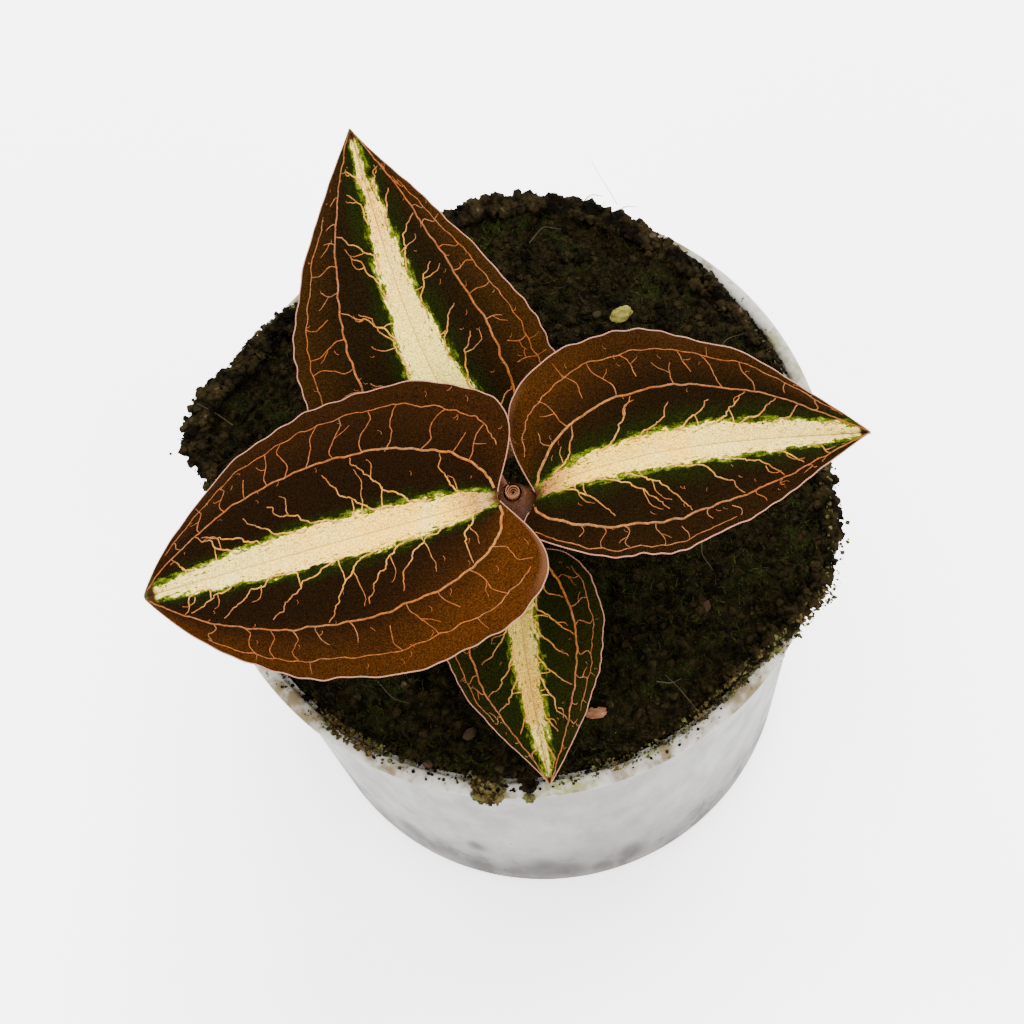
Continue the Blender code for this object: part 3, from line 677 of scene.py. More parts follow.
surface_area = pi * POT_LIP_RADIUS ** 2
crumb_stuff = crumb_matter()
moss_stuff = moss_matter()
for name, count, sizes, matter, shape, upright, seed in (
    ("soil_crumbs", CRUMB_COUNT, (CRUMB_SMALL, CRUMB_LARGE), crumb_stuff, crumb_shape, False, 11),
    ("soil_moss", MOSS_COUNT, (MOSS_SHORT, MOSS_LONG), moss_stuff, shoot_shape, True, 23),
):
    piece = soil.copy()
    piece.data = soil.data.copy()
    piece.name = name
    bpy.context.scene.collection.objects.link(piece)
    piece.data.materials.clear()
    values = {"Density": count / surface_area, "Smallest": sizes[0], "Largest": sizes[1], "Seed": seed}
    run_tree(piece, scatter_tree(name, matter, shape, upright), values)
    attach(piece, "root")

# Each heap: count, direction and half width in degrees, then in mm its inner and outer edge from the
# soil's edge, its height, and its smallest and largest grain
PEAT_HEAPS = (
    (800, 340.0, 24.0, -2.2, 0.40, 0.7, 0.15, 0.75),
    (750, 155.0, 20.0, -3.0, 0.45, 0.8, 0.15, 0.85),
    (1350, 76.0, 36.0, -2.2, 0.45, 0.8, 0.15, 0.95),
    (850, 130.0, 26.0, -1.0, 0.90, 0.4, 0.12, 0.55),
    (750, 32.0, 22.0, -0.8, 0.90, 0.4, 0.12, 0.50),
    (900, 250.0, 75.0, -0.8, 1.00, 0.3, 0.10, 0.42),
    (280, 316.0, 12.0, -1.0, 0.90, 0.5, 0.15, 0.60),
    (160, 262.3, 1.1, 0.4, 2.60, 0.4, 0.12, 0.50),
    (90, 254.8, 2.6, 0.6, 2.00, 0.4, 0.12, 0.40),
    (200, 250.0, 60.0, 0.4, 2.60, 0.1, 0.08, 0.28),
)
MOSS_HEAPS = (
    (850, 318.0, 20.0, -0.2, 1.60, 0.3, 0.08, 0.35),
    (360, 228.0, 8.0, 0.2, 2.40, 0.2, 0.08, 0.35),
    (420, 254.8, 2.8, 0.4, 2.60, 0.5, 0.08, 0.38),
    (220, 283.0, 14.0, 0.2, 2.00, 0.2, 0.08, 0.28),
    (300, 133.0, 14.0, 0.0, 1.40, 0.2, 0.08, 0.35),
    (260, 345.0, 14.0, -1.2, -0.10, 0.6, 0.10, 0.45),
)
# Crust that hangs on the lip's outside: count, direction and half width in degrees, lowest and highest
# z, smallest and largest grain in mm
CRUSTS = (
    (420, 254.9, 2.7, 83.2, 87.0, 0.12, 0.45),
    (80, 262.3, 0.9, 85.2, 87.0, 0.12, 0.40),
)


def lip_moss_matter():
    """Dry pale green moss and ochre crust on the lip."""
    material, tree, shader, place = new_material("lip_moss", 0.85, specular=0.02)
    each = cloud(tree, place, 260.0, 2.0)
    fine = cloud(tree, place, 900.0, 3.0)
    green = blend(tree, step(tree, fine, 0.35, 0.65), LIP_MOSS_DARK, LIP_MOSS_PALE)
    ochre = blend(tree, step(tree, fine, 0.35, 0.65), OCHRE_DARK, OCHRE_PALE)
    cover(tree, shader, blend(tree, step(tree, each, 0.42, 0.55), ochre, green), fine, 0.0003)
    return material


FUZZ_HEAPS = (
    (1000, 340.0, 24.0, -2.2, 0.15, 0.5, 0.3, 0.8),
    (1000, 155.0, 20.0, -3.0, 0.15, 0.5, 0.3, 0.9),
    (1500, 76.0, 36.0, -2.2, 0.20, 0.6, 0.3, 0.9),
    (700, 130.0, 26.0, -1.0, 0.50, 0.3, 0.3, 0.7),
    (600, 32.0, 22.0, -1.0, 0.50, 0.3, 0.3, 0.7),
    (1200, 250.0, 75.0, -1.0, 0.40, 0.3, 0.3, 0.7),
    (500, 316.0, 14.0, -1.2, 0.60, 0.4, 0.3, 0.8),
)
for name, heaps, matter, shape, seed in (
    ("lip_peat", PEAT_HEAPS, crumb_stuff, crumb_shape, 31),
    ("lip_moss", MOSS_HEAPS, lip_moss_matter(), crumb_shape, 37),
    ("lip_fuzz", FUZZ_HEAPS, moss_stuff, shoot_shape, 41),
):
    draw = random.Random(seed)
    grains = []
    for count, middle, half_width, *lengths in heaps:
        grains += heap(draw, count, middle, half_width, *[length * MM for length in lengths])
    for count, middle, half_width, *lengths in CRUSTS if name == "lip_moss" else ():
        grains += crust(draw, count, middle, half_width, *[length * MM for length in lengths])
    piece = mesh_object(name, [spot for spot, size in grains])
    write_values(piece.data, "grain_size", [size for spot, size in grains])
    run_tree(piece, litter_tree(name + "_tree", matter, shape), {"Seed": seed})
    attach(piece, "root")


# Fibres and bits on the soil
# Thin dry root fibres and one fine hair that stick out of the peat, and a few larger bits of bark between
# the crumbs. The fibres are rooted in the peat at their ends, and the bits lie half sunk in it.

# Each fibre: its points in mm, as x, y and height over the soil, and then its radius in mm
FIBRES = (
    ((22.3, 40.5, 0.6), (21.4, 42.6, 1.4), (20.2, 45.0, 2.4), (19.5, 47.1, 3.0), 0.05),
    ((21.5, 39.2, 0.4), (23.4, 40.0, 0.9), (24.9, 39.6, 0.7), 0.09),
    ((16.6, 41.2, 0.2), (18.6, 42.6, 0.9), (20.4, 42.2, 0.7), 0.11),
    ((24.4, -13.0, 0.7), (24.1, -15.2, 1.5), (25.4, -17.6, 0.6), 0.07),
    ((15.6, -31.0, 0.5), (17.2, -33.6, 0.9), (19.4, -37.4, 0.7), 0.06),
    ((14.2, -31.9, 0.4), (16.4, -32.7, 0.8), (17.9, -32.2, 0.5), 0.10),
    ((-38.5, 17.0, 0.8), (-41.0, 19.4, 1.5), (-43.4, 21.2, 1.2), 0.07),
    ((31.5, 14.0, 0.6), (33.8, 16.2, 1.3), (36.6, 16.6, 0.5), 0.07),
    ((8.2, 36.5, 0.5), (10.8, 38.6, 1.3), (13.6, 38.0, 0.4), 0.08),
    ((-24.2, -24.5, 0.5), (-22.4, -27.6, 1.1), (-20.0, -28.6, 0.5), 0.07),
)
FIBRE_SIDES = 6
FIBRE_STEPS = 26
FIBRE_BROWN = (0.006, 0.0045, 0.002)
FIBRE_STRAW = (0.060, 0.046, 0.026)
BIT_OLIVE = (0.022, 0.017, 0.006)
BIT_PINK = (0.036, 0.018, 0.010)
# Each bit: place, half sizes in mm, and turn in degrees
BITS = (
    (16.1, 23.9, 0.75, 0.5, 0.4, 20.0),
    (-12.6, -34.6, 1.1, 0.75, 0.45, 35.0),
    (-19.0, -37.4, 0.9, 0.6, 0.45, -15.0),
    (23.2, -22.6, 0.9, 0.6, 0.45, 60.0),
    (29.4, 8.0, 0.8, 0.6, 0.4, 10.0),
    (2.0, 31.5, 0.9, 0.55, 0.4, 70.0),
    (-27.4, -26.0, 0.7, 0.5, 0.4, 0.0),
)


def soil_top(x, y):
    """Height of the soil under a place."""
    _, edge_r, rest_z = soil_edge(atan2(y, x))
    return soil_height(x, y, rest_z + SOIL_EDGE, edge_r - sqrt(x * x + y * y))


def fibre_matter():
    """Dry brown root fibre with paler lengths."""
    material, tree, shader, place = new_material("dry_fibre", 0.8, specular=0.05)
    fine = cloud(tree, place, 500.0, 3.0)
    cover(tree, shader, blend(tree, fine, FIBRE_BROWN, FIBRE_STRAW), fine, 0.0001)
    return material


def bit_matter():
    """Dull olive and pinkish bark bits."""
    material, tree, shader, place = new_material("tan_bits", 0.85, specular=0.04)
    each = cloud(tree, place, 60.0, 1.0)
    fine = cloud(tree, place, 1200.0, 3.0)
    tint = blend(tree, step(tree, each, 0.42, 0.58), BIT_OLIVE, BIT_PINK)
    cover(tree, shader, blend(tree, fine, FIBRE_BROWN, tint), fine, 0.0003)
    return material


def sweep(name, centers, radii, sides):
    """A closed round tube along the centres."""
    vertices = []
    previous = None
    for index, center in enumerate(centers):
        along = (centers[min(index + 1, len(centers) - 1)] - centers[max(index - 1, 0)]).normalized()
        fallback = Vector((1.0, 0.0, 0.0)) if abs(along.x) < 0.8 else Vector((0.0, 1.0, 0.0))
        helper = previous or fallback
        across = (helper - along * helper.dot(along)).normalized()
        previous = across
        other = along.cross(across)
        for side in range(sides):
            turn = 2.0 * pi * side / sides
            vertices.append(center + radii[index] * (cos(turn) * across + sin(turn) * other))
    faces = [tuple(reversed(range(sides)))]
    faces.append(tuple(range((len(centers) - 1) * sides, len(centers) * sides)))
    for ring in range(len(centers) - 1):
        for side in range(sides):
            near = ring * sides + side
            next_near = ring * sides + (side + 1) % sides
            faces.append((near, next_near, next_near + sides, near + sides))
    item = mesh_object(name, vertices, faces)
    face_outwards(item)
    item.data.shade_smooth()
    return item


def build_fibres(material):
    """Every fibre as one closed slim tube, joined in one mesh."""
    bm = bmesh.new()
    for *spots, radius in FIBRES:
        knots = [Vector(spot) * MM for spot in spots]
        for knot in knots:
            knot.z += min(soil_top(knot.x, knot.y), POT_HEIGHT + SOIL_MOUND)
        travel = np.linspace(0.0, 1.0, len(knots))
        steps = np.linspace(0.0, 1.0, FIBRE_STEPS)
        lines = [np.interp(steps, travel, [knot[axis] for knot in knots]) for axis in range(3)]
        soften = np.ones(7) / 7.0
        bend = [np.convolve(np.pad(line, 3, mode="edge"), soften, mode="valid") for line in lines]
        centers = [Vector(spot) for spot in zip(*bend)]
        radii = [radius * MM * (1.0 - 0.6 * index / FIBRE_STEPS) for index in range(FIBRE_STEPS)]
        tube = sweep("fibre", centers, radii, FIBRE_SIDES)
        bm.from_mesh(tube.data)
        bpy.data.objects.remove(tube, do_unlink=True)
    fibres = mesh_object("soil_fibres", [])
    bm.to_mesh(fibres.data)
    bm.free()
    fibres.data.shade_smooth()
    fibres.data.materials.append(material)
    return fibres


def build_bits(material):
    """Every bit as a rough flat lump, joined in one mesh."""
    bm = bmesh.new()
    for x, y, long, wide, thick, turn in BITS:
        lump = bmesh.ops.create_icosphere(bm, subdivisions=3, radius=MM)["verts"]
        place = Vector((x, y, 0.0)) * MM
        place.z = soil_top(place.x, place.y) + 0.3 * thick * MM
        shape = Matrix.Translation(place) @ Matrix.Rotation(radians(turn), 4, "Z")
        shape = shape @ Matrix.Diagonal((long, wide, thick, 1.0))
        for vert in lump:
            bump = 1.0 + 0.3 * noise.noise(vert.co * 1600.0 + place * 300.0)
            vert.co = shape @ (vert.co * (bump + 0.12 * noise.noise(vert.co * 5000.0)))
    bits = mesh_object("soil_bits", [])
    bm.to_mesh(bits.data)
    bm.free()
    bits.data.shade_smooth()
    bits.data.materials.append(material)
    return bits


for piece in (build_fibres(fibre_matter()), build_bits(bit_matter())):
    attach(piece, "root")


# Stem
# One short fleshy stem, green at its foot and pink above, grown up through the soil. It swells a little
# below each leaf's collar, and its top carries the young leaf that is still rolled.

STEM_RINGS = 120
STEM_SIDES = 32
COLLAR_HEIGHT = 2.8 * MM
COLLAR_WALL = 0.75 * MM
COLLAR_HEIGHTS = (107.3 * MM, 103.6 * MM, 99.9 * MM, 96.2 * MM)
SWELL = 0.3 * MM
SWELL_BELOW_COLLAR = 0.55 * MM
STEM_GREEN = (0.045, 0.034, 0.010)
STEM_PINK = (0.16, 0.055, 0.034)
SKIN_DOTS = (0.26, 0.14, 0.10)


def stem_radius(z):
    """Radius of the stem between its nodes."""
    share = (z - STEM_FOOT.z) / (STEM_TOP.z - STEM_FOOT.z)
    straight = min(1.0, max(0.0, (share - 0.45) / 0.55))
    return STEM_FOOT_RADIUS + (STEM_TOP_RADIUS - STEM_FOOT_RADIUS) * straight


def fleshy(name, low_color, high_color, low_z, high_z):
    """Smooth fleshy skin that turns from one colour to another with height, with fine pale dots."""
    material, tree, shader, place = new_material(name, 0.42, specular=0.05)
    height = add_node(tree, "ShaderNodeSeparateXYZ", {0: place}).outputs[2]
    wide = cloud(tree, place, 500.0, 3.0)
    fine = cloud(tree, place, 3500.0, 2.0)
    level = plus(tree, height, times(tree, wide, 0.003))
    skin = blend(tree, step(tree, level, low_z, high_z), low_color, high_color)
    skin = blend(tree, times(tree, step(tree, fine, 0.6, 0.8), 0.25), skin, SKIN_DOTS)
    cover(tree, shader, skin, fine, 0.0001)
    shader.inputs["Subsurface Weight"].default_value = 0.15
    shader.inputs["Subsurface Radius"].default_value = (0.0012, 0.0006, 0.0004)
    return material


centers = []
radii = []
for ring in range(STEM_RINGS + 1):
    z = STEM_FOOT.z + (STEM_TOP.z - STEM_FOOT.z) * ring / STEM_RINGS
    swell = 0.0
    for collar_z in COLLAR_HEIGHTS:
        node_z = collar_z - 0.5 * COLLAR_HEIGHT - SWELL_BELOW_COLLAR
        swell += SWELL * exp(-((z - node_z) / SWELL) ** 2)
    end = 1.0 - max(0.0, (ring - STEM_RINGS + 3) / 3.0) ** 2 * 0.3
    centers.append(stem_center(z))
    radii.append((stem_radius(z) + swell) * end)
stem = sweep("stem_shaft", centers, radii, STEM_SIDES)
stem.data.materials.append(fleshy("stem_skin", STEM_GREEN, STEM_PINK, POT_HEIGHT, STEM_TOP.z))
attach(stem, "root")
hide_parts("stem")


# Leaves
# Four velvety blades, each grown in one with its petiole and the collar that clasps the stem. A cream band
# follows the midrib, with a ragged green edge, and the dark rest is netted with fine copper veins.

BLADE_STATIONS = 132
BLADE_STRIPS = 40
BLADE_THICKNESS = 0.62 * MM
BLADE_EDGE = 0.3 * MM
PILLOW = 0.16 * MM
PETIOLE_RADIUS = 0.95 * MM
PETIOLE_SIDES = 20
PETIOLE_GAP = 0.15 * MM
PETIOLE_SHARES = (0.15, 0.3, 0.45, 0.6, 0.75, 0.88)
COLLAR_SIDES = 48
# Section of a collar: distance out from its bore in walls, and height in collar heights
COLLAR_RUN = ((0.0, 0.0), (0.6, 0.0), (1.0, 0.12), (0.9, 0.5), (1.0, 0.9), (0.7, 1.0), (0.1, 0.97),
              (0.0, 0.85))
KEEL_END = 0.8
KEEL_END_RADIUS = 0.2 * MM
VEIN_SINK = 0.25
VEIN_SIDES = 6
VEIN_STEP = 0.34
COPPER = (0.14, 0.038, 0.006)
DUSTY = (0.135, 0.050, 0.016)
CREAM = (0.33, 0.16, 0.02)
PALE_PINK = (0.26, 0.12, 0.075)
MARGIN_DULL = (0.15, 0.06, 0.035)
PETIOLE_GREEN = (0.05, 0.026, 0.009)
PETIOLE_PINK = (0.13, 0.042, 0.024)
GREEN_GROUND = (0.0036, 0.0051, 0.0005)
LIME_DEEP = (0.0150, 0.0270, 0.0010)
LIME_PALE = (0.075, 0.098, 0.0045)
# Real grain and painted glints on the dark ground
GRAIN_GLINT_LOW = (0.35, 0.35, 0.35)
GRAIN_GLINT_HIGH = (1.9, 1.85, 1.8)
BAND_FOOT = (0.17, 0.050, 0.026)
BAND_MILKY = (0.56, 0.50, 0.16)
# Cell texture and painted glints on the band
CELL_GLINT_LOW = (0.52, 0.52, 0.46)
CELL_GLINT_HIGH = (1.42, 1.42, 1.50)
MIDRIB_LINE = (0.19, 0.10, 0.02)
LEAF_FOOT = (0.040, 0.014, 0.005)
# Painted light: lighter rim where the edge near the base rolls toward the light
LIT_ROLLED_EDGE = (0.062, 0.025, 0.010)
DRIED = (0.020, 0.0095, 0.0026)
DRIED_TIP = (0.040, 0.036, 0.009)
PLUM = (0.030, 0.009, 0.008)
PLUM_GREEN = (0.022, 0.016, 0.007)
UNDER_BAND = (0.12, 0.085, 0.045)


@dataclass
class Side:
    """One half of a blade.

    Its width; powers by which the margin rises from the base and falls to the tip; how far and where it
    sweeps back as a lobe; how far it lifts; where its long veins run from midrib (0) to margin (1) at
    base, middle and tip; the outer vein's start and end along the leaf; and how warm its ground turns,
    which is its own colour toward the margin and painted light on the lobe and rolled edge near the base.
    """
    width: float
    rise: float
    fall: float
    lobe: float
    lobe_at: float
    lift: float
    inner_vein: tuple
    outer_vein: tuple
    outer_span: tuple
    warmth_and_light: float


@dataclass
class Leaf:
    """A leaf from base to tip; its left half is on the left looking to the tip.

    It bows sideways, arches along its length, is domed across it and waved at its margin. The band is its
    half width in mm with two numbers for its outline; green_reach and base_fade are in mm.
    """
    name: str
    base: Vector
    tip: Vector
    bow: float
    arch: float
    dome: float
    wave: float
    wave_count: float
    wave_phase: float
    left: Side
    right: Side
    collar_z: float
    band: tuple
    band_color: tuple
    band_tip: tuple
    green_reach: float
    base_fade: float
    dark: tuple
    warm: tuple
    seed: int


LEAVES = (
    Leaf(
        name="leaf_left", base=Vector((-2.8, -10.0, 114.5)) * MM, tip=Vector((-52.3, -13.2, 109.5)) * MM,
        bow=0.6 * MM, arch=2.0 * MM, dome=1.0 * MM, wave=0.35 * MM,
        wave_count=3.2, wave_phase=0.1,
        left=Side(
            width=20.1 * MM, rise=0.77, fall=0.92, lobe=0.232, lobe_at=0.200, lift=0.3 * MM,
            inner_vein=(0.62, 0.58, 0.62), outer_vein=(0.95, 0.84, 0.95), outer_span=(0.13, 0.86),
            warmth_and_light=1.0,
        ),
        right=Side(
            width=19.5 * MM, rise=0.70, fall=0.91, lobe=0.220, lobe_at=0.200, lift=0.6 * MM,
            inner_vein=(0.53, 0.57, 0.60), outer_vein=(0.83, 0.86, 0.84), outer_span=(0.07, 0.92),
            warmth_and_light=0.12,
        ),
        collar_z=COLLAR_HEIGHTS[0], band=(2.75, 0.8, 0.6), band_color=(0.66, 0.385, 0.045),
        band_tip=(0.60, 0.42, 0.09), green_reach=2.2, base_fade=1.5,
        dark=(0.0042, 0.0018, 0.0004), warm=(0.024, 0.0072, 0.0009), seed=4,
    ),
    Leaf(
        name="leaf_right", base=Vector((2.4, -9.8, 111.8)) * MM, tip=Vector((48.5, -9.2, 110.5)) * MM,
        bow=2.1 * MM, arch=2.2 * MM, dome=0.8 * MM, wave=0.6 * MM,
        wave_count=3.6, wave_phase=0.35,
        left=Side(
            width=17.2 * MM, rise=0.83, fall=1.19, lobe=0.171, lobe_at=0.200, lift=2.6 * MM,
            inner_vein=(0.48, 0.50, 0.56), outer_vein=(0.84, 0.82, 0.90), outer_span=(0.05, 0.93),
            warmth_and_light=0.5,
        ),
        right=Side(
            width=14.8 * MM, rise=0.56, fall=1.12, lobe=0.079, lobe_at=0.030, lift=2.6 * MM,
            inner_vein=(0.62, 0.71, 0.80), outer_vein=(0.93, 0.92, 0.84), outer_span=(0.04, 0.55),
            warmth_and_light=0.0,
        ),
        collar_z=COLLAR_HEIGHTS[1], band=(2.6, 0.9, 0.62), band_color=(0.64, 0.38, 0.042),
        band_tip=(0.58, 0.41, 0.09), green_reach=3.6, base_fade=1.5,
        dark=(0.0040, 0.0020, 0.0004), warm=(0.021, 0.0068, 0.0009), seed=9,
    ),
    Leaf(
        name="leaf_back", base=Vector((-1.8, -1.2, 103.0)) * MM, tip=Vector((-13.7, 45.0, 120.0)) * MM,
        bow=3.4 * MM, arch=1.5 * MM, dome=0.9 * MM, wave=0.5 * MM,
        wave_count=2.6, wave_phase=0.2,
        left=Side(
            width=17.7 * MM, rise=0.56, fall=1.06, lobe=0.048, lobe_at=0.046, lift=-0.8 * MM,
            inner_vein=(0.50, 0.56, 0.74), outer_vein=(0.87, 0.88, 0.87), outer_span=(0.15, 0.80),
            warmth_and_light=0.5,
        ),
        right=Side(
            width=16.5 * MM, rise=0.42, fall=1.17, lobe=0.032, lobe_at=0.200, lift=0.6 * MM,
            inner_vein=(0.45, 0.61, 0.88), outer_vein=(0.82, 0.86, 0.83), outer_span=(0.10, 0.82),
            warmth_and_light=0.8,
        ),
        collar_z=COLLAR_HEIGHTS[2], band=(4.4, 0.25, 0.85), band_color=(0.60, 0.465, 0.095),
        # Its long base fade darkens the base under the left and right leaves: painted shade.
        band_tip=(0.58, 0.34, 0.06), green_reach=3.4, base_fade=9.0,
        dark=(0.0042, 0.0023, 0.0005), warm=(0.018, 0.0068, 0.0009), seed=15,
    ),
    Leaf(
        name="leaf_front", base=Vector((-1.2, -13.5, 100.5)) * MM, tip=Vector((-2.9, -44.2, 90.0)) * MM,
        bow=-1.0 * MM, arch=1.4 * MM, dome=0.8 * MM, wave=0.4 * MM,
        wave_count=2.4, wave_phase=0.6,
        left=Side(
            width=11.2 * MM, rise=0.47, fall=1.03, lobe=0.020, lobe_at=0.060, lift=0.8 * MM,
            inner_vein=(0.45, 0.67, 0.68), outer_vein=(0.84, 0.87, 0.86), outer_span=(0.10, 0.70),
            warmth_and_light=0.0,
        ),
        right=Side(
            width=10.8 * MM, rise=0.70, fall=1.25, lobe=0.058, lobe_at=0.074, lift=0.8 * MM,
            inner_vein=(0.62, 0.70, 0.62), outer_vein=(0.88, 0.88, 0.86), outer_span=(0.10, 0.70),
            warmth_and_light=0.0,
        ),
        collar_z=COLLAR_HEIGHTS[3], band=(1.9, 0.5, 0.75), band_color=(0.36, 0.25, 0.045),
        band_tip=(0.40, 0.21, 0.03), green_reach=5.0, base_fade=1.5,
        dark=(0.0045, 0.0046, 0.0004), warm=(0.0110, 0.0095, 0.0008), seed=21,
    ),
)


def leaf_axes(leaf):
    """Length of the leaf and its directions: to the tip, to its left and up from its face."""
    chord = leaf.tip - leaf.base
    along = chord.normalized()
    face = (Vector((0.0, 0.0, 1.0)) - along * along.z).normalized()
    return chord.length, along, face.cross(along), face


def side_values(leaf, v, field):
    """A value of the left or the right half for each point."""
    return np.where(v >= 0.0, getattr(leaf.left, field), getattr(leaf.right, field))


def vein_share(side, which, u):
    """Where a long vein runs between midrib (0) and margin (1): its values at base, middle and tip."""
    base, middle, tip = getattr(side, which)
    near = np.clip(1.0 - 2.0 * u, 0.0, 1.0)
    far = np.clip(2.0 * u - 1.0, 0.0, 1.0)
    return middle + (base - middle) * near ** 2 + (tip - middle) * far ** 2


def margin_distance(leaf, u, v):
    """Distance from the midrib to the margin, across the leaf."""
    rise = side_values(leaf, v, "rise")
    fall = side_values(leaf, v, "fall")
    peak = rise / (rise + fall)
    scale = peak ** rise * (1.0 - peak) ** fall
    start = leaf.seed + 2.0 * (v >= 0.0)
    uneven = 0.010 * np.sin(31.0 * u + start)
    uneven = uneven + 0.007 * np.sin(57.0 * u + 2.0 * start) * np.sin(9.0 * u + start)
    uneven = uneven + 0.007 * np.sin(118.0 * u + 3.0 * start) * np.sin(7.0 * u + start)
    return side_values(leaf, v, "width") * u ** rise * (1.0 - u) ** fall / scale * (1.0 + uneven)


def leaf_plan(leaf, u, v):
    """Distance along the leaf and across it from the midrib, for base-to-tip u and margin-to-margin v."""
    length = leaf_axes(leaf)[0]
    lobe_at = side_values(leaf, v, "lobe_at")
    lobe = side_values(leaf, v, "lobe")
    back = lobe * (u / lobe_at) * np.exp(1.0 - u / lobe_at) * (1.0 - u ** 4)
    return length * (u - v ** 2 * back), v * margin_distance(leaf, u, v)


def leaf_surface(leaf, u, v):
    """Points of the upper face: a domed and waved form with shallow pillows between the long veins."""
    _, along, across, face = leaf_axes(leaf)
    x, y = leaf_plan(leaf, u, v)
    out = np.abs(v)
    y = y + leaf.bow * np.sin(pi * u ** 0.7)
    ends = np.sqrt(np.clip(4.0 * u * (1.0 - u), 0.0, 1.0))
    ripple = np.sin(2.0 * pi * (leaf.wave_count * u + leaf.wave_phase + 0.3 * (v >= 0.0)))
    height = leaf.arch * np.sin(pi * u ** 0.8)
    lift = side_values(leaf, v, "lift")
    crown = leaf.dome * np.sin(pi * out ** 0.8)
    height = height + (crown + lift * out + leaf.wave * out ** 2 * ripple) * ends
    inner, outer = [np.where(v >= 0.0, vein_share(leaf.left, which, u), vein_share(leaf.right, which, u))
                    for which in ("inner_vein", "outer_vein")]
    bounds = (np.zeros_like(inner), inner, outer, np.ones_like(inner))
    pillow = np.zeros_like(inner)
    for low, high in zip(bounds, bounds[1:]):
        share = np.clip((out - low) / np.maximum(high - low, 0.01), 0.0, 1.0)
        pillow = pillow + np.sin(pi * share) * (out >= low) * (out < high)
    height = height + PILLOW * pillow * ends
    spots = np.array(leaf.base)
    for amount, way in ((x, along), (y, across), (height, face)):
        spots = spots + amount[..., None] * np.array(way)
    return spots


def band_half_width(leaf, share):
    """Half width of the pale band in mm at a share of the length."""
    widest, skew, power = leaf.band
    share = np.clip(share, 0.001, 0.999)
    return widest * np.sin(pi * share ** skew) ** power


def build_blade(leaf, upper_skin, under_skin):
    """The closed blade: a finely divided upper and lower face joined round the margin."""
    length, _, _, face = leaf_axes(leaf)
    stations = 0.5 * (1.0 - np.cos(pi * np.arange(1, BLADE_STATIONS) / BLADE_STATIONS))
    strips = np.arange(-BLADE_STRIPS, BLADE_STRIPS + 1) / BLADE_STRIPS
    u, v = np.meshgrid(stations, strips, indexing="ij")
    flat_u = np.concatenate([[0.0], u.ravel(), [1.0]])
    flat_v = np.concatenate([[0.0], v.ravel(), [0.0]])
    top = leaf_surface(leaf, flat_u, flat_v)
    thick = BLADE_EDGE + (BLADE_THICKNESS - BLADE_EDGE) * (1.0 - np.abs(flat_v) ** 3)
    low = top - thick[:, None] * np.array(face)
    count = len(flat_u)
    width = len(strips)
    faces = []
    for offset in (0, count):
        start, end = offset, offset + count - 1
        rows = [[offset + 1 + row * width + column for column in range(width)]
                for row in range(len(stations))]
        skin = []
        for column in range(width - 1):
            skin.append((start, rows[0][column], rows[0][column + 1]))
            skin.append((end, rows[-1][column + 1], rows[-1][column]))
        for near, far in zip(rows, rows[1:]):
            for column in range(width - 1):
                skin.append((near[column], far[column], far[column + 1], near[column + 1]))
        faces += skin
        if offset == 0:
            upper_count = len(skin)
    for column in (0, width - 1):
        rim = [0] + [1 + row * width + column for row in range(len(stations))] + [count - 1]
        for first, second in zip(rim, rim[1:]):
            faces.append((first, second, second + count, first + count))
    blade = mesh_object(leaf.name + "_blade", np.concatenate([top, low]), faces)
    blade.data.materials.append(upper_skin)
    blade.data.materials.append(under_skin)
    slots = np.ones(len(faces), dtype=np.int32)
    slots[:upper_count] = 0
    blade.data.polygons.foreach_set("material_index", slots)
    plan_x, plan_y = leaf_plan(leaf, flat_u, flat_v)
    edge = np.abs(plan_y) / MM - band_half_width(leaf, plan_x / length)
    for name, values in (("along", plan_x / MM), ("across", plan_y / MM), ("edge", edge), ("out", flat_v),
                         ("share", flat_u)):
        write_values(blade.data, name, np.concatenate([values, values]))
    face_outwards(blade)
    blade.data.shade_smooth()
    blade.data.set_sharp_from_angle(angle=radians(60.0))
    return blade


def leaf_value(tree, name):
    """A number that the blade keeps for each of its points."""
    return add_node(tree, "ShaderNodeAttribute", attribute_name=name).outputs["Fac"]


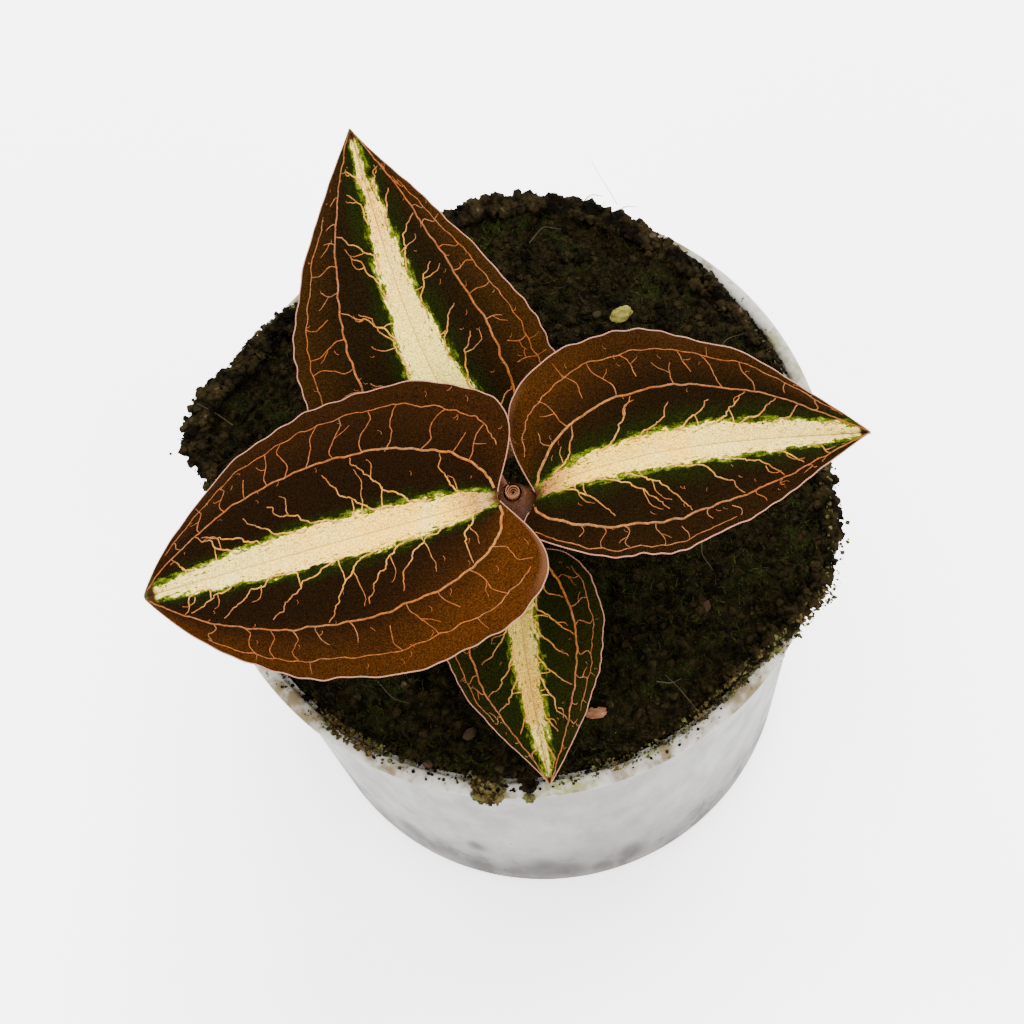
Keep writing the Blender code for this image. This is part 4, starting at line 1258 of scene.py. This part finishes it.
def blade_skin(leaf):
    """Upper skin: cream band, ragged green edge, dark ground warming to the margin, painted light and
    glints.
    """
    material, tree, shader, place = new_material(leaf.name + "_upper", 0.5, specular=0.006)
    along, across = leaf_value(tree, "along"), leaf_value(tree, "across")
    edge, out, share = leaf_value(tree, "edge"), leaf_value(tree, "out"), leaf_value(tree, "share")
    spots = []
    for pull, layer in ((0.42, float(leaf.seed)), (0.38, 3.0 + leaf.seed)):
        inputs = {0: times(tree, along, pull), 1: across, 2: layer}
        spots.append(add_node(tree, "ShaderNodeCombineXYZ", inputs).outputs[0])
    streak, fleck = spots
    ragged = off_middle(tree, cloud(tree, streak, 0.95, 2.0))
    torn = off_middle(tree, cloud(tree, fleck, 3.0, 3.0, 0.7))
    border = plus(tree, edge, times(tree, ragged, 2.2))
    border = plus(tree, border, times(tree, torn, 1.5))
    broad = cloud(tree, place, 95.0, 3.0)
    mottle = cloud(tree, place, 900.0, 3.0, 0.7)
    grain = step(tree, cloud(tree, place, 4600.0, 2.0, 0.8), 0.3, 0.7)
    near_base = step(tree, share, 0.5, 0.08)
    warm_and_lit = 0.0
    # Warmth toward the margin is the leaf's own colour; the warm lobe near the base is painted light.
    for side, turn in ((leaf.left, 1.0), (leaf.right, -1.0)):
        reach = times(tree, out, turn)
        outer = times(tree, step(tree, reach, 0.45, 1.0), 0.14 + 0.66 * side.warmth_and_light)
        lobe = times(tree, step(tree, reach, 0.15, 0.85), 0.75 * side.warmth_and_light)
        warm_and_lit = plus(tree, warm_and_lit, plus(tree, outer, times(tree, lobe, near_base)))
    warm_and_lit = work_out(tree, "MINIMUM", times(tree, warm_and_lit, plus(tree, broad, 0.5)), 1.0)
    ground = blend(tree, warm_and_lit, leaf.dark, leaf.warm)
    green_side = plus(tree, border, off_middle(tree, broad, 4.0))
    ground = blend(tree, step(tree, green_side, leaf.green_reach, 0.4), ground, GREEN_GROUND)
    lime = blend(tree, step(tree, mottle, 0.35, 0.65), LIME_DEEP, LIME_PALE)
    fringe = times(tree, step(tree, border, 0.75, 0.15), step(tree, broad, 0.28, 0.50))
    color = blend(tree, fringe, ground, lime)
    # Fine grains lightened and darkened: real grain and painted glints.
    grain_glints = blend(tree, grain, GRAIN_GLINT_LOW, GRAIN_GLINT_HIGH)
    color = multiply(tree, color, grain_glints)
    frosty = blend(tree, step(tree, share, 0.25, 0.8), leaf.band_color, leaf.band_tip)
    frosty = blend(tree, step(tree, share, 0.17, 0.0), frosty, BAND_FOOT)
    milky = times(tree, step(tree, broad, 0.48, 0.66), 0.45)
    frosty = blend(tree, milky, frosty, BAND_MILKY)
    # The band's grain: cell texture and painted glints.
    cells_and_glints = blend(tree, grain, CELL_GLINT_LOW, CELL_GLINT_HIGH)
    pale = multiply(tree, frosty, cells_and_glints)
    line = times(tree, step(tree, work_out(tree, "ABSOLUTE", across), 0.12, 0.03), 0.65)
    pale = blend(tree, line, pale, MIDRIB_LINE)
    islands = times(tree, step(tree, torn, 0.055, 0.10), step(tree, border, -1.7, -0.2))
    pale = blend(tree, islands, pale, lime)
    color = blend(tree, step(tree, border, 0.10, -0.10), color, pale)
    foot = add_node(tree, "ShaderNodeCombineXYZ", {0: along, 1: across}).outputs[0]
    away = add_node(tree, "ShaderNodeVectorMath", {0: foot}, operation="LENGTH").outputs["Value"]
    # Near the base the colour turns to the leaf's foot; on the back leaf the long fade is painted shade
    # under the leaves above.
    color = blend(tree, step(tree, away, leaf.base_fade, 0.2), color, LEAF_FOOT)
    # A lighter rim where the edge near the base rolls toward the light: painted light.
    lit_rolled_edge = times(tree, step(tree, out, 0.94, 0.985), step(tree, share, 0.22, 0.12))
    lit_rolled_edge = times(tree, lit_rolled_edge, leaf.left.warmth_and_light)
    color = blend(tree, lit_rolled_edge, color, LIT_ROLLED_EDGE)
    dried = plus(tree, share, off_middle(tree, mottle, 0.012))
    color = blend(tree, step(tree, dried, 0.958, 0.972), color, DRIED)
    color = blend(tree, step(tree, dried, 0.982, 0.992), color, DRIED_TIP)
    tree.links.new(plus(tree, times(tree, grain, 0.25), 0.38), shader.inputs["Roughness"])
    relief = plus(tree, times(tree, grain, 0.5), times(tree, mottle, 1.5))
    cover(tree, shader, color, relief, 0.00014, 0.9)
    return material


def under_skin_of(leaf):
    """Lower skin: dull plum over green, paler under the band."""
    material, tree, shader, place = new_material(leaf.name + "_under", 0.5, sheen=0.004, specular=0.06)
    broad = cloud(tree, place, 120.0, 3.0)
    grain = cloud(tree, place, 4200.0, 2.0, 0.8)
    ground = blend(tree, broad, PLUM, PLUM_GREEN)
    color = blend(tree, step(tree, leaf_value(tree, "edge"), 0.9, -0.6), ground, UNDER_BAND)
    speckle = blend(tree, grain, (0.8, 0.8, 0.8), (1.2, 1.2, 1.2))
    cover(tree, shader, multiply(tree, color, speckle), grain, 0.00006)
    return material


def petiole_path(leaf):
    """Centres and radii of the petiole, from the collar up to the blade and on as its keel."""
    face = leaf_axes(leaf)[3]
    heading = leaf_axes(leaf)[1].copy()
    heading.z = 0.0
    heading.normalize()
    collar = stem_center(leaf.collar_z)
    outside = stem_radius(leaf.collar_z) + GAP + COLLAR_WALL
    surface = leaf_surface(leaf, np.linspace(0.07, KEEL_END, 40), np.zeros(40))
    keel = [Vector(point) for point in surface]
    join = keel[0] - face * (PETIOLE_RADIUS + PETIOLE_GAP)
    foot = collar + heading * (outside - 0.25 * MM)
    elbow = collar + heading * (outside + 1.35 * MM) + Vector((0.0, 0.0, 1.3 * MM))
    reach = join - elbow
    centers = [foot, foot.lerp(elbow, 0.5) + Vector((0.0, 0.0, -0.2 * MM)), elbow]
    radii = [PETIOLE_RADIUS * 1.15, PETIOLE_RADIUS * 1.1, PETIOLE_RADIUS]
    for share in PETIOLE_SHARES:
        centers.append(elbow + reach * share - heading * (0.25 * reach.length * share * (1.0 - share)))
        radii.append(PETIOLE_RADIUS)
    for index, point in enumerate(keel):
        radius = PETIOLE_RADIUS + (KEEL_END_RADIUS - PETIOLE_RADIUS) * (index / (len(keel) - 1)) ** 0.7
        centers.append(point - face * (radius + PETIOLE_GAP))
        radii.append(radius)
    return centers, radii


def ring_object(name, vertices, sides):
    """A closed ring from the points of its section, taken round in turn for each point of the section."""
    faces = []
    rings = len(vertices) // sides
    for ring in range(rings):
        following = (ring + 1) % rings
        for side in range(sides):
            near = (side + 1) % sides
            faces.append((ring * sides + side, ring * sides + near, following * sides + near,
                          following * sides + side))
    item = mesh_object(name, vertices, faces)
    face_outwards(item)
    item.data.shade_smooth()
    return item


def build_collar(leaf):
    """The collar: a thin sheath round the stem, flared a little at its upper edge."""
    low = leaf.collar_z - 0.5 * COLLAR_HEIGHT
    bore = max(stem_radius(low), stem_radius(low + COLLAR_HEIGHT)) + GAP + 0.05 * MM
    vertices = []
    for out, share in COLLAR_RUN:
        center = stem_center(low + share * COLLAR_HEIGHT)
        for side in range(COLLAR_SIDES):
            turn = 2.0 * pi * side / COLLAR_SIDES
            vertices.append(center + (bore + out * COLLAR_WALL) * Vector((cos(turn), sin(turn), 0.0)))
    return ring_object(leaf.name + "_collar", vertices, COLLAR_SIDES)


class Veins:
    """Runs of vein points on one leaf, with the radius and paleness of each point."""

    def __init__(self, leaf):
        self.leaf = leaf
        self.length = leaf_axes(leaf)[0] / MM
        self.draw = random.Random(leaf.seed)
        self.points = []
        self.edges = []
        self.radii = []
        self.tones = []

    def span(self, u, sign):
        """Distance in mm from midrib to margin on one side."""
        spots = np.atleast_1d(np.asarray(u, dtype=float))
        return margin_distance(self.leaf, spots, np.full(spots.shape, float(sign))) / MM

    def band_share(self, u, sign):
        """Where the pale band's edge lies between midrib and margin."""
        spots = np.atleast_1d(np.asarray(u, dtype=float))
        return np.minimum(0.9, band_half_width(self.leaf, spots) / np.maximum(self.span(spots, sign), 0.5))

    def add(self, u, v, radius, tone, ends=(1.0, 1.0), wander=0.12):
        """Add one smooth run through the (u, v) spots; it sways a little and thins to its ends."""
        u = np.clip(np.asarray(u, dtype=float), 0.002, 0.998)
        v = np.asarray(v, dtype=float)
        steps = np.hypot(np.diff(u) * self.length, np.diff(v * self.span(u, np.sign(v.sum()))))
        travel = np.concatenate([[0.0], np.cumsum(steps)])
        count = max(4, int(travel[-1] / VEIN_STEP) + 1)
        spots = np.linspace(0.0, travel[-1], count)
        u = smooth_through(travel, u, spots)
        v = smooth_through(travel, v, spots)
        phase = self.draw.random() * 60.0
        drift = np.array([noise.noise(Vector((phase, 0.55 * spot, 0.0))) for spot in spots])
        drift += 0.4 * np.array([noise.noise(Vector((phase, 1.7 * spot, 4.0))) for spot in spots])
        sway = np.array([noise.noise(Vector((phase, 0.55 * spot, 9.0))) for spot in spots])
        sway += 0.4 * np.array([noise.noise(Vector((phase, 1.7 * spot, 13.0))) for spot in spots])
        calm = np.minimum(1.0, np.minimum(spots, spots[-1] - spots) / 0.8)
        u = np.clip(u + wander * drift * calm / self.length * 2.0, 0.002, 0.998)
        room = np.maximum(self.span(u, np.sign(v.sum())), 1.0)
        v = np.clip(v + wander * sway * calm / room * 2.0, -1.0, 1.0)
        share = np.linspace(0.0, 1.0, count)
        thick = radius * MM * (ends[0] + (ends[1] - ends[0]) * share)
        face = np.array(leaf_axes(self.leaf)[3])
        spots = leaf_surface(self.leaf, u, v) - VEIN_SINK * thick[:, None] * face
        start = len(self.points)
        self.points += [tuple(spot) for spot in spots]
        self.radii += list(thick)
        self.tones += list(tone[0] + (tone[1] - tone[0]) * share)
        self.edges += [(start + index, start + index + 1) for index in range(count - 1)]


def smooth_through(knots, values, spots):
    """Values at the spots along a smooth curve through the knots."""
    if len(knots) < 3:
        return np.interp(spots, knots, values)
    slopes = np.gradient(values, knots)
    index = np.clip(np.searchsorted(knots, spots) - 1, 0, len(knots) - 2)
    gap = np.maximum(knots[index + 1] - knots[index], 1e-9)
    t = (spots - knots[index]) / gap
    first = (1.0 + 2.0 * t) * (1.0 - t) ** 2 * values[index] + t * (1.0 - t) ** 2 * gap * slopes[index]
    second = t ** 2 * (3.0 - 2.0 * t) * values[index + 1]
    return first + second - t ** 2 * (1.0 - t) * gap * slopes[index + 1]


def grow_side(veins, side, sign):
    """Net one half of the leaf: long veins, slanting branches, ladder rungs and short blind twigs."""
    draw = veins.draw
    long_u = np.linspace(0.012, 0.985, 40)
    veins.add(long_u, sign * vein_share(side, "inner_vein", long_u), 0.2, (0.42, 0.15), (1.1, 0.45), 0.12)
    span_u = np.linspace(side.outer_span[0], side.outer_span[1], 30)
    veins.add(span_u, sign * vein_share(side, "outer_vein", span_u), 0.125, (0.0, 0.05), (0.8, 0.6), 0.14)
    u = 0.04 + 0.03 * draw.random()
    while u < 0.90:
        u = grow_branch(veins, side, sign, u)
    u = 0.10 + 0.04 * draw.random()
    while u < 0.88:
        grow_rung(veins, side, sign, u)
        u += (2.4 + 1.8 * draw.random()) / veins.length
    for _ in range(int(0.45 * veins.length)):
        u = 0.06 + 0.86 * draw.random()
        v = 0.3 + 0.66 * draw.random()
        lean = (draw.random() - 0.5) * 0.02
        veins.add((u, u + 0.5 * lean, u + lean + 0.006), sign * np.array((v, v + 0.02, v + 0.035)), 0.05,
                  (0.25, 0.1), (1.0, 0.5), 0.05)


def grow_rung(veins, side, sign, u):
    """A short wavy rung between the two long veins, sometimes broken or forked."""
    draw = veins.draw
    low = float(vein_share(side, "inner_vein", np.array(u)))
    high = float(vein_share(side, "outer_vein", np.array(u)))
    lean = (2.2 * draw.random() - 0.9) / veins.length
    bend = (0.15 + 0.4 * draw.random()) / veins.length * draw.choice((-1.0, 1.0))
    first, last = draw.choice(((0.0, 1.0), (0.0, 1.0), (0.0, 1.0), (0.0, 0.6), (0.35, 1.0)))
    share = np.linspace(first, last, 5)
    path_u = u + lean * share + bend * np.sin(2.0 * pi * share)
    path_v = low + (high - low) * share
    veins.add(path_u, sign * path_v, 0.088, (0.15, 0.05), (1.0, 0.75), 0.12)
    if draw.random() < 0.3:
        away = draw.choice((-1.0, 1.0)) / veins.length
        middle_u, middle_v = path_u[2], path_v[2]
        twig_v = middle_v + np.array((0.0, 0.4, 0.8)) * (high - middle_v) * 0.6
        twig_u = middle_u + away * np.array((0.0, 0.9, 1.3))
        veins.add(twig_u, sign * twig_v, 0.07, (0.15, 0.0), (1.0, 0.6), 0.1)
    if draw.random() < 0.25 and high < 0.9:
        share = np.array((0.0, 0.35, 0.7))
        veins.add(u + 0.8 * share / veins.length, sign * (high + (1.0 - high) * share), 0.06, (0.0, 0.0),
                  (1.0, 0.5), 0.1)


def grow_branch(veins, side, sign, u):
    """A branch that leaves the band nearly along it and bends out to the inner long vein, with twigs."""
    draw = veins.draw
    room = (float(vein_share(side, "inner_vein", np.array(u + 0.1))) * float(veins.span(u + 0.1, sign)[0]) -
            float(band_half_width(veins.leaf, u + 0.1)))
    reach = (0.85 + 0.6 * draw.random()) * max(room, 1.5) / veins.length + 0.02
    reach = min(reach, 0.97 - u)
    stop = draw.choice((0.96, 0.94, 0.8, 0.62))
    share = np.linspace(0.0, 1.0, 8)
    path_u = u + reach * share
    foot = veins.band_share(path_u, sign) * 0.95
    goal = np.maximum(vein_share(side, "inner_vein", path_u), foot + 0.02)
    climb = share ** (1.6 + 0.7 * draw.random()) * stop
    path_v = foot + (goal - foot) * climb
    veins.add(path_u, sign * path_v, 0.12, (1.0, 0.3), (1.2, 0.7), 0.3)
    for at in draw.sample((2, 3, 4), draw.choice((0, 1, 1, 2))):
        lean = (0.6 * draw.random() - 0.4) / veins.length
        tie_v = path_v[at] + (foot[at] * 0.97 - path_v[at]) * np.array((0.0, 0.5, 1.0))
        tie_u = path_u[at] + lean * np.array((0.0, 1.0, 0.7))
        veins.add(tie_u, sign * tie_v, 0.09, (0.6, 1.0), (0.9, 1.1), 0.08)
    for at in draw.sample((3, 5), draw.choice((0, 1, 1))):
        size = 0.35 + 0.4 * draw.random()
        gain = (goal[at] - path_v[at]) * size
        run = (0.4 + 1.2 * draw.random()) / veins.length
        hook_u = path_u[at] + run * np.array((0.0, 0.15, 0.7, 1.5))
        hook_v = path_v[at] + gain * np.array((0.0, 0.45, 0.85, 1.0))
        veins.add(hook_u, sign * hook_v, 0.085, (0.6, 0.15), (1.0, 0.7), 0.14)
    return u + (0.085 + 0.07 * draw.random())


def vein_tree(material):
    """Round each run of points into a slim rib, its radius taken from the points."""
    tree, start, outgoing = new_tree("vein_ribs", (("Sides", "NodeSocketInt"),))
    lines = add_node(tree, "GeometryNodeMeshToCurve", {"Mesh": start.outputs["Geometry"]})
    width = add_node(tree, "GeometryNodeInputNamedAttribute", {"Name": "rib_radius"}, data_type="FLOAT")
    round_rib = {"Resolution": start.outputs["Sides"], "Radius": 1.0}
    ring = add_node(tree, "GeometryNodeCurvePrimitiveCircle", round_rib)
    ribs = {"Curve": lines.outputs[0], "Profile Curve": ring.outputs[0], "Scale": width.outputs[0],
            "Fill Caps": True}
    body = add_node(tree, "GeometryNodeCurveToMesh", ribs)
    smooth = add_node(tree, "GeometryNodeSetShadeSmooth", {"Geometry": body.outputs[0]})
    end_tree(tree, smooth.outputs[0], outgoing, material)
    return tree


def vein_matter():
    """Copper vein, cream where it leaves the band, with paler and duller lengths."""
    material, tree, shader, place = new_material("vein_copper", 0.45, specular=0.06)
    tone = leaf_value(tree, "tone")
    fine = cloud(tree, place, 1400.0, 3.0, 0.7)
    wide = cloud(tree, place, 160.0, 2.0)
    ore = blend(tree, step(tree, wide, 0.4, 0.62), COPPER, DUSTY)
    color = blend(tree, step(tree, tone, 0.2, 1.0), ore, CREAM)
    dull = blend(tree, step(tree, fine, 0.3, 0.7), (0.55, 0.55, 0.55), (1.35, 1.35, 1.35))
    cover(tree, shader, multiply(tree, color, dull), fine, 0.00008)
    return material


def margin_matter():
    """Thin pale pink margin."""
    material, tree, shader, place = new_material("pale_margin", 0.45, specular=0.1)
    fine = cloud(tree, place, 600.0, 2.0)
    tree.links.new(blend(tree, fine, MARGIN_DULL, PALE_PINK), shader.inputs["Base Color"])
    return material


vein_copper = vein_matter()
rib_tree = vein_tree(vein_copper)
margin_tree = vein_tree(margin_matter())
petiole_skin = fleshy("petiole_skin", PETIOLE_GREEN, PETIOLE_PINK, 0.096, 0.110)
for leaf in LEAVES:
    blade = build_blade(leaf, blade_skin(leaf), under_skin_of(leaf))
    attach(blade, "root")
    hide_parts(leaf.name)
    centers, radii = petiole_path(leaf)
    petiole = sweep(leaf.name + "_petiole", centers, radii, PETIOLE_SIDES)
    collar = build_collar(leaf)
    veins = Veins(leaf)
    for side, sign in ((leaf.left, 1.0), (leaf.right, -1.0)):
        grow_side(veins, side, sign)
    net = mesh_object(leaf.name + "_veins", veins.points, edges=veins.edges)
    write_values(net.data, "rib_radius", veins.radii)
    write_values(net.data, "tone", veins.tones)
    run_tree(net, rib_tree, {"Sides": VEIN_SIDES})
    rim = Veins(leaf)
    rim_u = 0.5 * (1.0 - np.cos(pi * np.linspace(0.03, 0.97, 200)))
    for sign in (1.0, -1.0):
        rim.add(rim_u, np.full(rim_u.shape, sign), 0.095, (0.0, 0.0), (1.0, 1.0), 0.0)
    margin = mesh_object(leaf.name + "_margin", rim.points, edges=rim.edges)
    write_values(margin.data, "rib_radius", rim.radii)
    run_tree(margin, margin_tree, {"Sides": VEIN_SIDES})
    for piece in (petiole, collar):
        piece.data.materials.append(petiole_skin)
    for piece in (petiole, collar, net, margin):
        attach(piece, "root")


# Rolled young leaf
# The next leaf, still rolled into a slim brown tube on the stem's tip, with its open end up. The open
# sheath of the topmost leaf, soft and grown in one with it, hugs the roll and flares out to the blades.

ROLL_HEIGHT = 5.0 * MM
ROLL_BASE_RADIUS = 1.35 * MM
ROLL_TIP_RADIUS = 1.05 * MM
ROLL_TURNS = 3.2
ROLL_LEAN = Vector((0.1, -0.2, 0.0)) * MM
ROLL_LAYER = 0.15 * MM
ROLL_PITCH = 0.25 * MM
ROLL_STEPS = 170
ROLL_ROWS = 14
ROLL_START = 2.0
ROLL_DIP = 0.7 * MM
ROLL_LOW = (0.030, 0.0125, 0.0035)
ROLL_RIM = (0.110, 0.042, 0.017)
SHEATH_FOOT = 1.48 * MM
SHEATH_THROAT = 1.17 * MM
SHEATH_RISE = 4.7 * MM
SHEATH_WALL = 0.22 * MM
SHEATH_SIDES = 96
SHEATH_LOW = (0.0055, 0.0017, 0.0003)
SHEATH_RIM = (0.034, 0.0110, 0.0038)
# Section of the sheath: share of its rise, then share of its flare
SHEATH_RUN = ((0.0, 0.0), (0.25, 0.0), (0.5, 0.0), (0.75, 0.0), (0.92, 0.0), (1.0, 0.06), (1.0, 0.2),
              (1.0, 0.4), (1.0, 0.6), (1.0, 0.8), (1.0, 0.93), (1.0, 1.0))


def build_roll():
    """A sheet rolled three turns, wider at its foot, as a closed strip with thickness."""
    foot = STEM_TOP + Vector((0.0, 0.0, GAP))
    vertices = []
    for row in range(ROLL_ROWS + 1):
        share = row / ROLL_ROWS
        center = foot + ROLL_LEAN * share ** 2 + Vector((0.0, 0.0, ROLL_HEIGHT * share))
        radius = ROLL_BASE_RADIUS + (ROLL_TIP_RADIUS - ROLL_BASE_RADIUS) * share
        for inset in (0.0, ROLL_LAYER):
            for index in range(ROLL_STEPS + 1):
                turn = 2.0 * pi * ROLL_TURNS * index / ROLL_STEPS + ROLL_START
                reach = radius - inset - ROLL_PITCH * ROLL_TURNS * index / ROLL_STEPS
                dip = Vector((0.0, 0.0, -ROLL_DIP * share * index / ROLL_STEPS))
                vertices.append(center + dip + reach * Vector((cos(turn), sin(turn), 0.0)))
    width = ROLL_STEPS + 1
    size = 2 * width
    loop = list(range(width)) + [width + index for index in reversed(range(width))]
    faces = []
    for low in range(0, ROLL_ROWS * size, size):
        for first, second in zip(loop, loop[1:] + loop[:1]):
            faces.append((low + first, low + second, low + size + second, low + size + first))
    for low in (0, ROLL_ROWS * size):
        for near in range(low, low + ROLL_STEPS):
            faces.append((near, near + 1, near + width + 1, near + width))
    roll = mesh_object("rolled_leaf_sheet", vertices, faces)
    face_outwards(roll)
    roll.data.shade_smooth()
    roll.data.set_sharp_from_angle(angle=radians(50.0))
    return roll


def build_sheath():
    """Open sheath of the topmost leaf: it hugs the rolled leaf and flares out to the blades' bases."""
    foot = STEM_TOP - Vector((0.0, 0.0, 0.5 * MM))
    run = [(up, out, 0.0) for up, out in SHEATH_RUN]
    run += [(up, out, SHEATH_WALL) for up, out in reversed(SHEATH_RUN)]
    vertices = []
    for up, out, wall in run:
        for side in range(SHEATH_SIDES):
            turn = 2.0 * pi * side / SHEATH_SIDES
            reach = (2.6 + 0.55 * cos(turn) - 1.15 * sin(turn) + 0.1 * sin(5.0 * turn + 1.0)) * MM
            rim = (3.4 - 1.0 * cos(turn) - 0.35 * sin(turn)) * MM
            radius = SHEATH_FOOT + (SHEATH_THROAT - SHEATH_FOOT) * up + (reach - SHEATH_THROAT) * out
            z = SHEATH_RISE * up + (rim - SHEATH_RISE) * out ** 1.4
            ray = Vector((cos(turn), sin(turn), 0.0))
            vertices.append(foot + ray * (radius + wall * (1.0 - out)) + Vector((0.0, 0.0, z - wall * out)))
    return ring_object("leaf_left_sheath", vertices, SHEATH_SIDES)


roll = build_roll()
roll.data.materials.append(fleshy("rolled_skin", ROLL_LOW, ROLL_RIM, 0.1148, 0.1161))
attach(roll, "root")
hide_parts("rolled_leaf")
sheath = build_sheath()
sheath.data.materials.append(fleshy("sheath_skin", SHEATH_LOW, SHEATH_RIM, 0.1128, 0.1155))
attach(sheath, "root")


# Bark chips
# Two pale chips of bark that lie loose on the soil, a yellow-green one behind the right leaf and a pinkish
# one beside the front leaf. Each is flat below, rough above and streaked along its fibres.

# Each chip: node, place, half sizes, turn in degrees, light and dark colour
CHIPS = (
    ("bark_chip_back", CHIP_BACK, Vector((1.7, 1.15, 0.85)) * MM, 15.0,
     (0.165, 0.150, 0.034), (0.060, 0.052, 0.010)),
    ("bark_chip_front", CHIP_FRONT, Vector((1.5, 0.85, 0.6)) * MM, -2.0,
     (0.25, 0.120, 0.058), (0.095, 0.040, 0.019)),
)


def build_chip(name, place, half, turn):
    """A rough flat-bottomed chip over the smooth seat in the soil."""
    bm = bmesh.new()
    bmesh.ops.create_icosphere(bm, subdivisions=4, radius=1.0)
    for vert in bm.verts:
        bump = 1.0 + 0.22 * noise.noise(vert.co * 1.7 + place * 500.0) + 0.08 * noise.noise(vert.co * 5.0)
        spot = Vector((vert.co.x * half.x, vert.co.y * half.y, vert.co.z * half.z)) * bump
        spot.z = max(spot.z, -0.45 * half.z)
        vert.co = spot
    bmesh.ops.transform(bm, matrix=Matrix.Rotation(radians(turn), 4, "Z"), verts=bm.verts)
    seat = POT_HEIGHT + SOIL_MOUND + 0.45 * half.z
    bmesh.ops.translate(bm, vec=Vector((place.x, place.y, seat)), verts=bm.verts)
    chip = mesh_object(name, [])
    bm.to_mesh(chip.data)
    bm.free()
    chip.data.shade_smooth()
    return chip


def chip_matter(name, light, dark):
    """Dry fibrous bark, streaked lengthwise."""
    material, tree, shader, place = new_material(name, 0.8, specular=0.05)
    stretch = add_node(tree, "ShaderNodeMapping", {"Vector": place, "Scale": (0.35, 1.0, 1.0)}).outputs[0]
    streak = cloud(tree, stretch, 1400.0, 3.0)
    blotch = cloud(tree, place, 500.0, 2.0)
    color = blend(tree, step(tree, streak, 0.35, 0.7), dark, light)
    cover(tree, shader, blend(tree, times(tree, blotch, 0.5), color, dark), streak, 0.0003)
    return material


for name, place, half, turn, light, dark in CHIPS:
    chip = build_chip(name + "_piece", place, half, turn)
    chip.data.materials.append(chip_matter(name + "_bark", light, dark))
    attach(chip, "root")
    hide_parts(name)


# Floor, light and camera
# A plain white floor in soft studio light: four wide lamps and a room that is bright near the floor. The
# camera looks steeply down and is rolled a little, as in the photo.

CAMERA_HEIGHT_ANGLE = radians(71.46)
CAMERA_ROLL = radians(-10.42)
CAMERA_TARGET = Vector((-1.23, -3.12, 86.9)) * MM
CAMERA_DISTANCE = 450.0 * MM
CAMERA_FOCUS_PIXELS = 3146.0
IMAGE_PIXELS = 1024.0
SENSOR = 36.0
FLOOR_HALF = 3.0
FLOOR_DROP = 0.2 * MM
FLOOR_GLOW = 1.1
PAPER_DULL = (0.93, 0.925, 0.935)
PAPER_WHITE = (0.95, 0.945, 0.955)
ROOM_LOW = 4.6
ROOM_HIGH = 0.45
LAMP_SPREAD = radians(50.0)
# Each lamp: name, direction it stands in and height angle in degrees, strength
LAMPS = (
    ("window_lamp", 52.0, 52.0, 8.2),
    ("back_lamp", 135.0, 42.0, 4.6),
    ("left_lamp", 215.0, 44.0, 3.6),
    ("front_lamp", 320.0, 44.0, 4.4),
)

floor_mesh = bpy.data.meshes.new("floor")
floor_bm = bmesh.new()
bmesh.ops.create_grid(floor_bm, x_segments=1, y_segments=1, size=FLOOR_HALF)
floor_bm.to_mesh(floor_mesh)
floor_bm.free()
floor = bpy.data.objects.new("floor", floor_mesh)
floor.location.z = -FLOOR_DROP
bpy.context.scene.collection.objects.link(floor)
paper, paper_tree, paper_shader, paper_place = new_material("white_paper", 0.7)
paper_grain = cloud(paper_tree, paper_place, 40.0, 2.0)
paper_color = blend(paper_tree, paper_grain, PAPER_DULL, PAPER_WHITE)
paper_tree.links.new(paper_color, paper_shader.inputs["Base Color"])
paper_shader.inputs["Emission Color"].default_value = (1.0, 0.99, 1.0, 1.0)
paper_shader.inputs["Emission Strength"].default_value = FLOOR_GLOW
floor.data.materials.append(paper)

world = bpy.data.worlds.new("soft_room")
bpy.context.scene.world = world
world.use_nodes = True
sky = world.node_tree
direction = add_node(sky, "ShaderNodeTexCoord").outputs["Generated"]
upness = add_node(sky, "ShaderNodeSeparateXYZ", {0: direction}).outputs[2]
fall_off = {"Value": upness, "From Min": 0.0, "From Max": 0.75, "To Min": ROOM_LOW, "To Max": ROOM_HIGH}
room = add_node(sky, "ShaderNodeMapRange", fall_off, interpolation_type="SMOOTHSTEP").outputs[0]
sky.nodes["Background"].inputs[0].default_value = (0.985, 0.985, 1.0, 1.0)
sky.links.new(room, sky.nodes["Background"].inputs[1])

for name, turn, height, strength in LAMPS:
    lamp = bpy.data.lights.new(name, "SUN")
    lamp.energy = strength
    lamp.angle = LAMP_SPREAD
    stand = bpy.data.objects.new(name, lamp)
    stand.rotation_euler = (0.0, radians(90.0 - height), radians(turn))
    bpy.context.scene.collection.objects.link(stand)

backward = Vector((0.0, -cos(CAMERA_HEIGHT_ANGLE), sin(CAMERA_HEIGHT_ANGLE)))
level = Vector((1.0, 0.0, 0.0))
upward = backward.cross(level)
right = level * cos(CAMERA_ROLL) + upward * sin(CAMERA_ROLL)
top = upward * cos(CAMERA_ROLL) - level * sin(CAMERA_ROLL)
camera_data = bpy.data.cameras.new("camera")
camera_data.sensor_width = SENSOR
camera_data.lens = CAMERA_FOCUS_PIXELS * SENSOR / IMAGE_PIXELS
camera_data.clip_start = 0.01
camera = bpy.data.objects.new("camera", camera_data)
turned = Matrix((right, top, backward)).transposed().to_4x4()
camera.matrix_world = Matrix.Translation(CAMERA_TARGET + backward * CAMERA_DISTANCE) @ turned
bpy.context.scene.collection.objects.link(camera)
bpy.context.scene.camera = camera
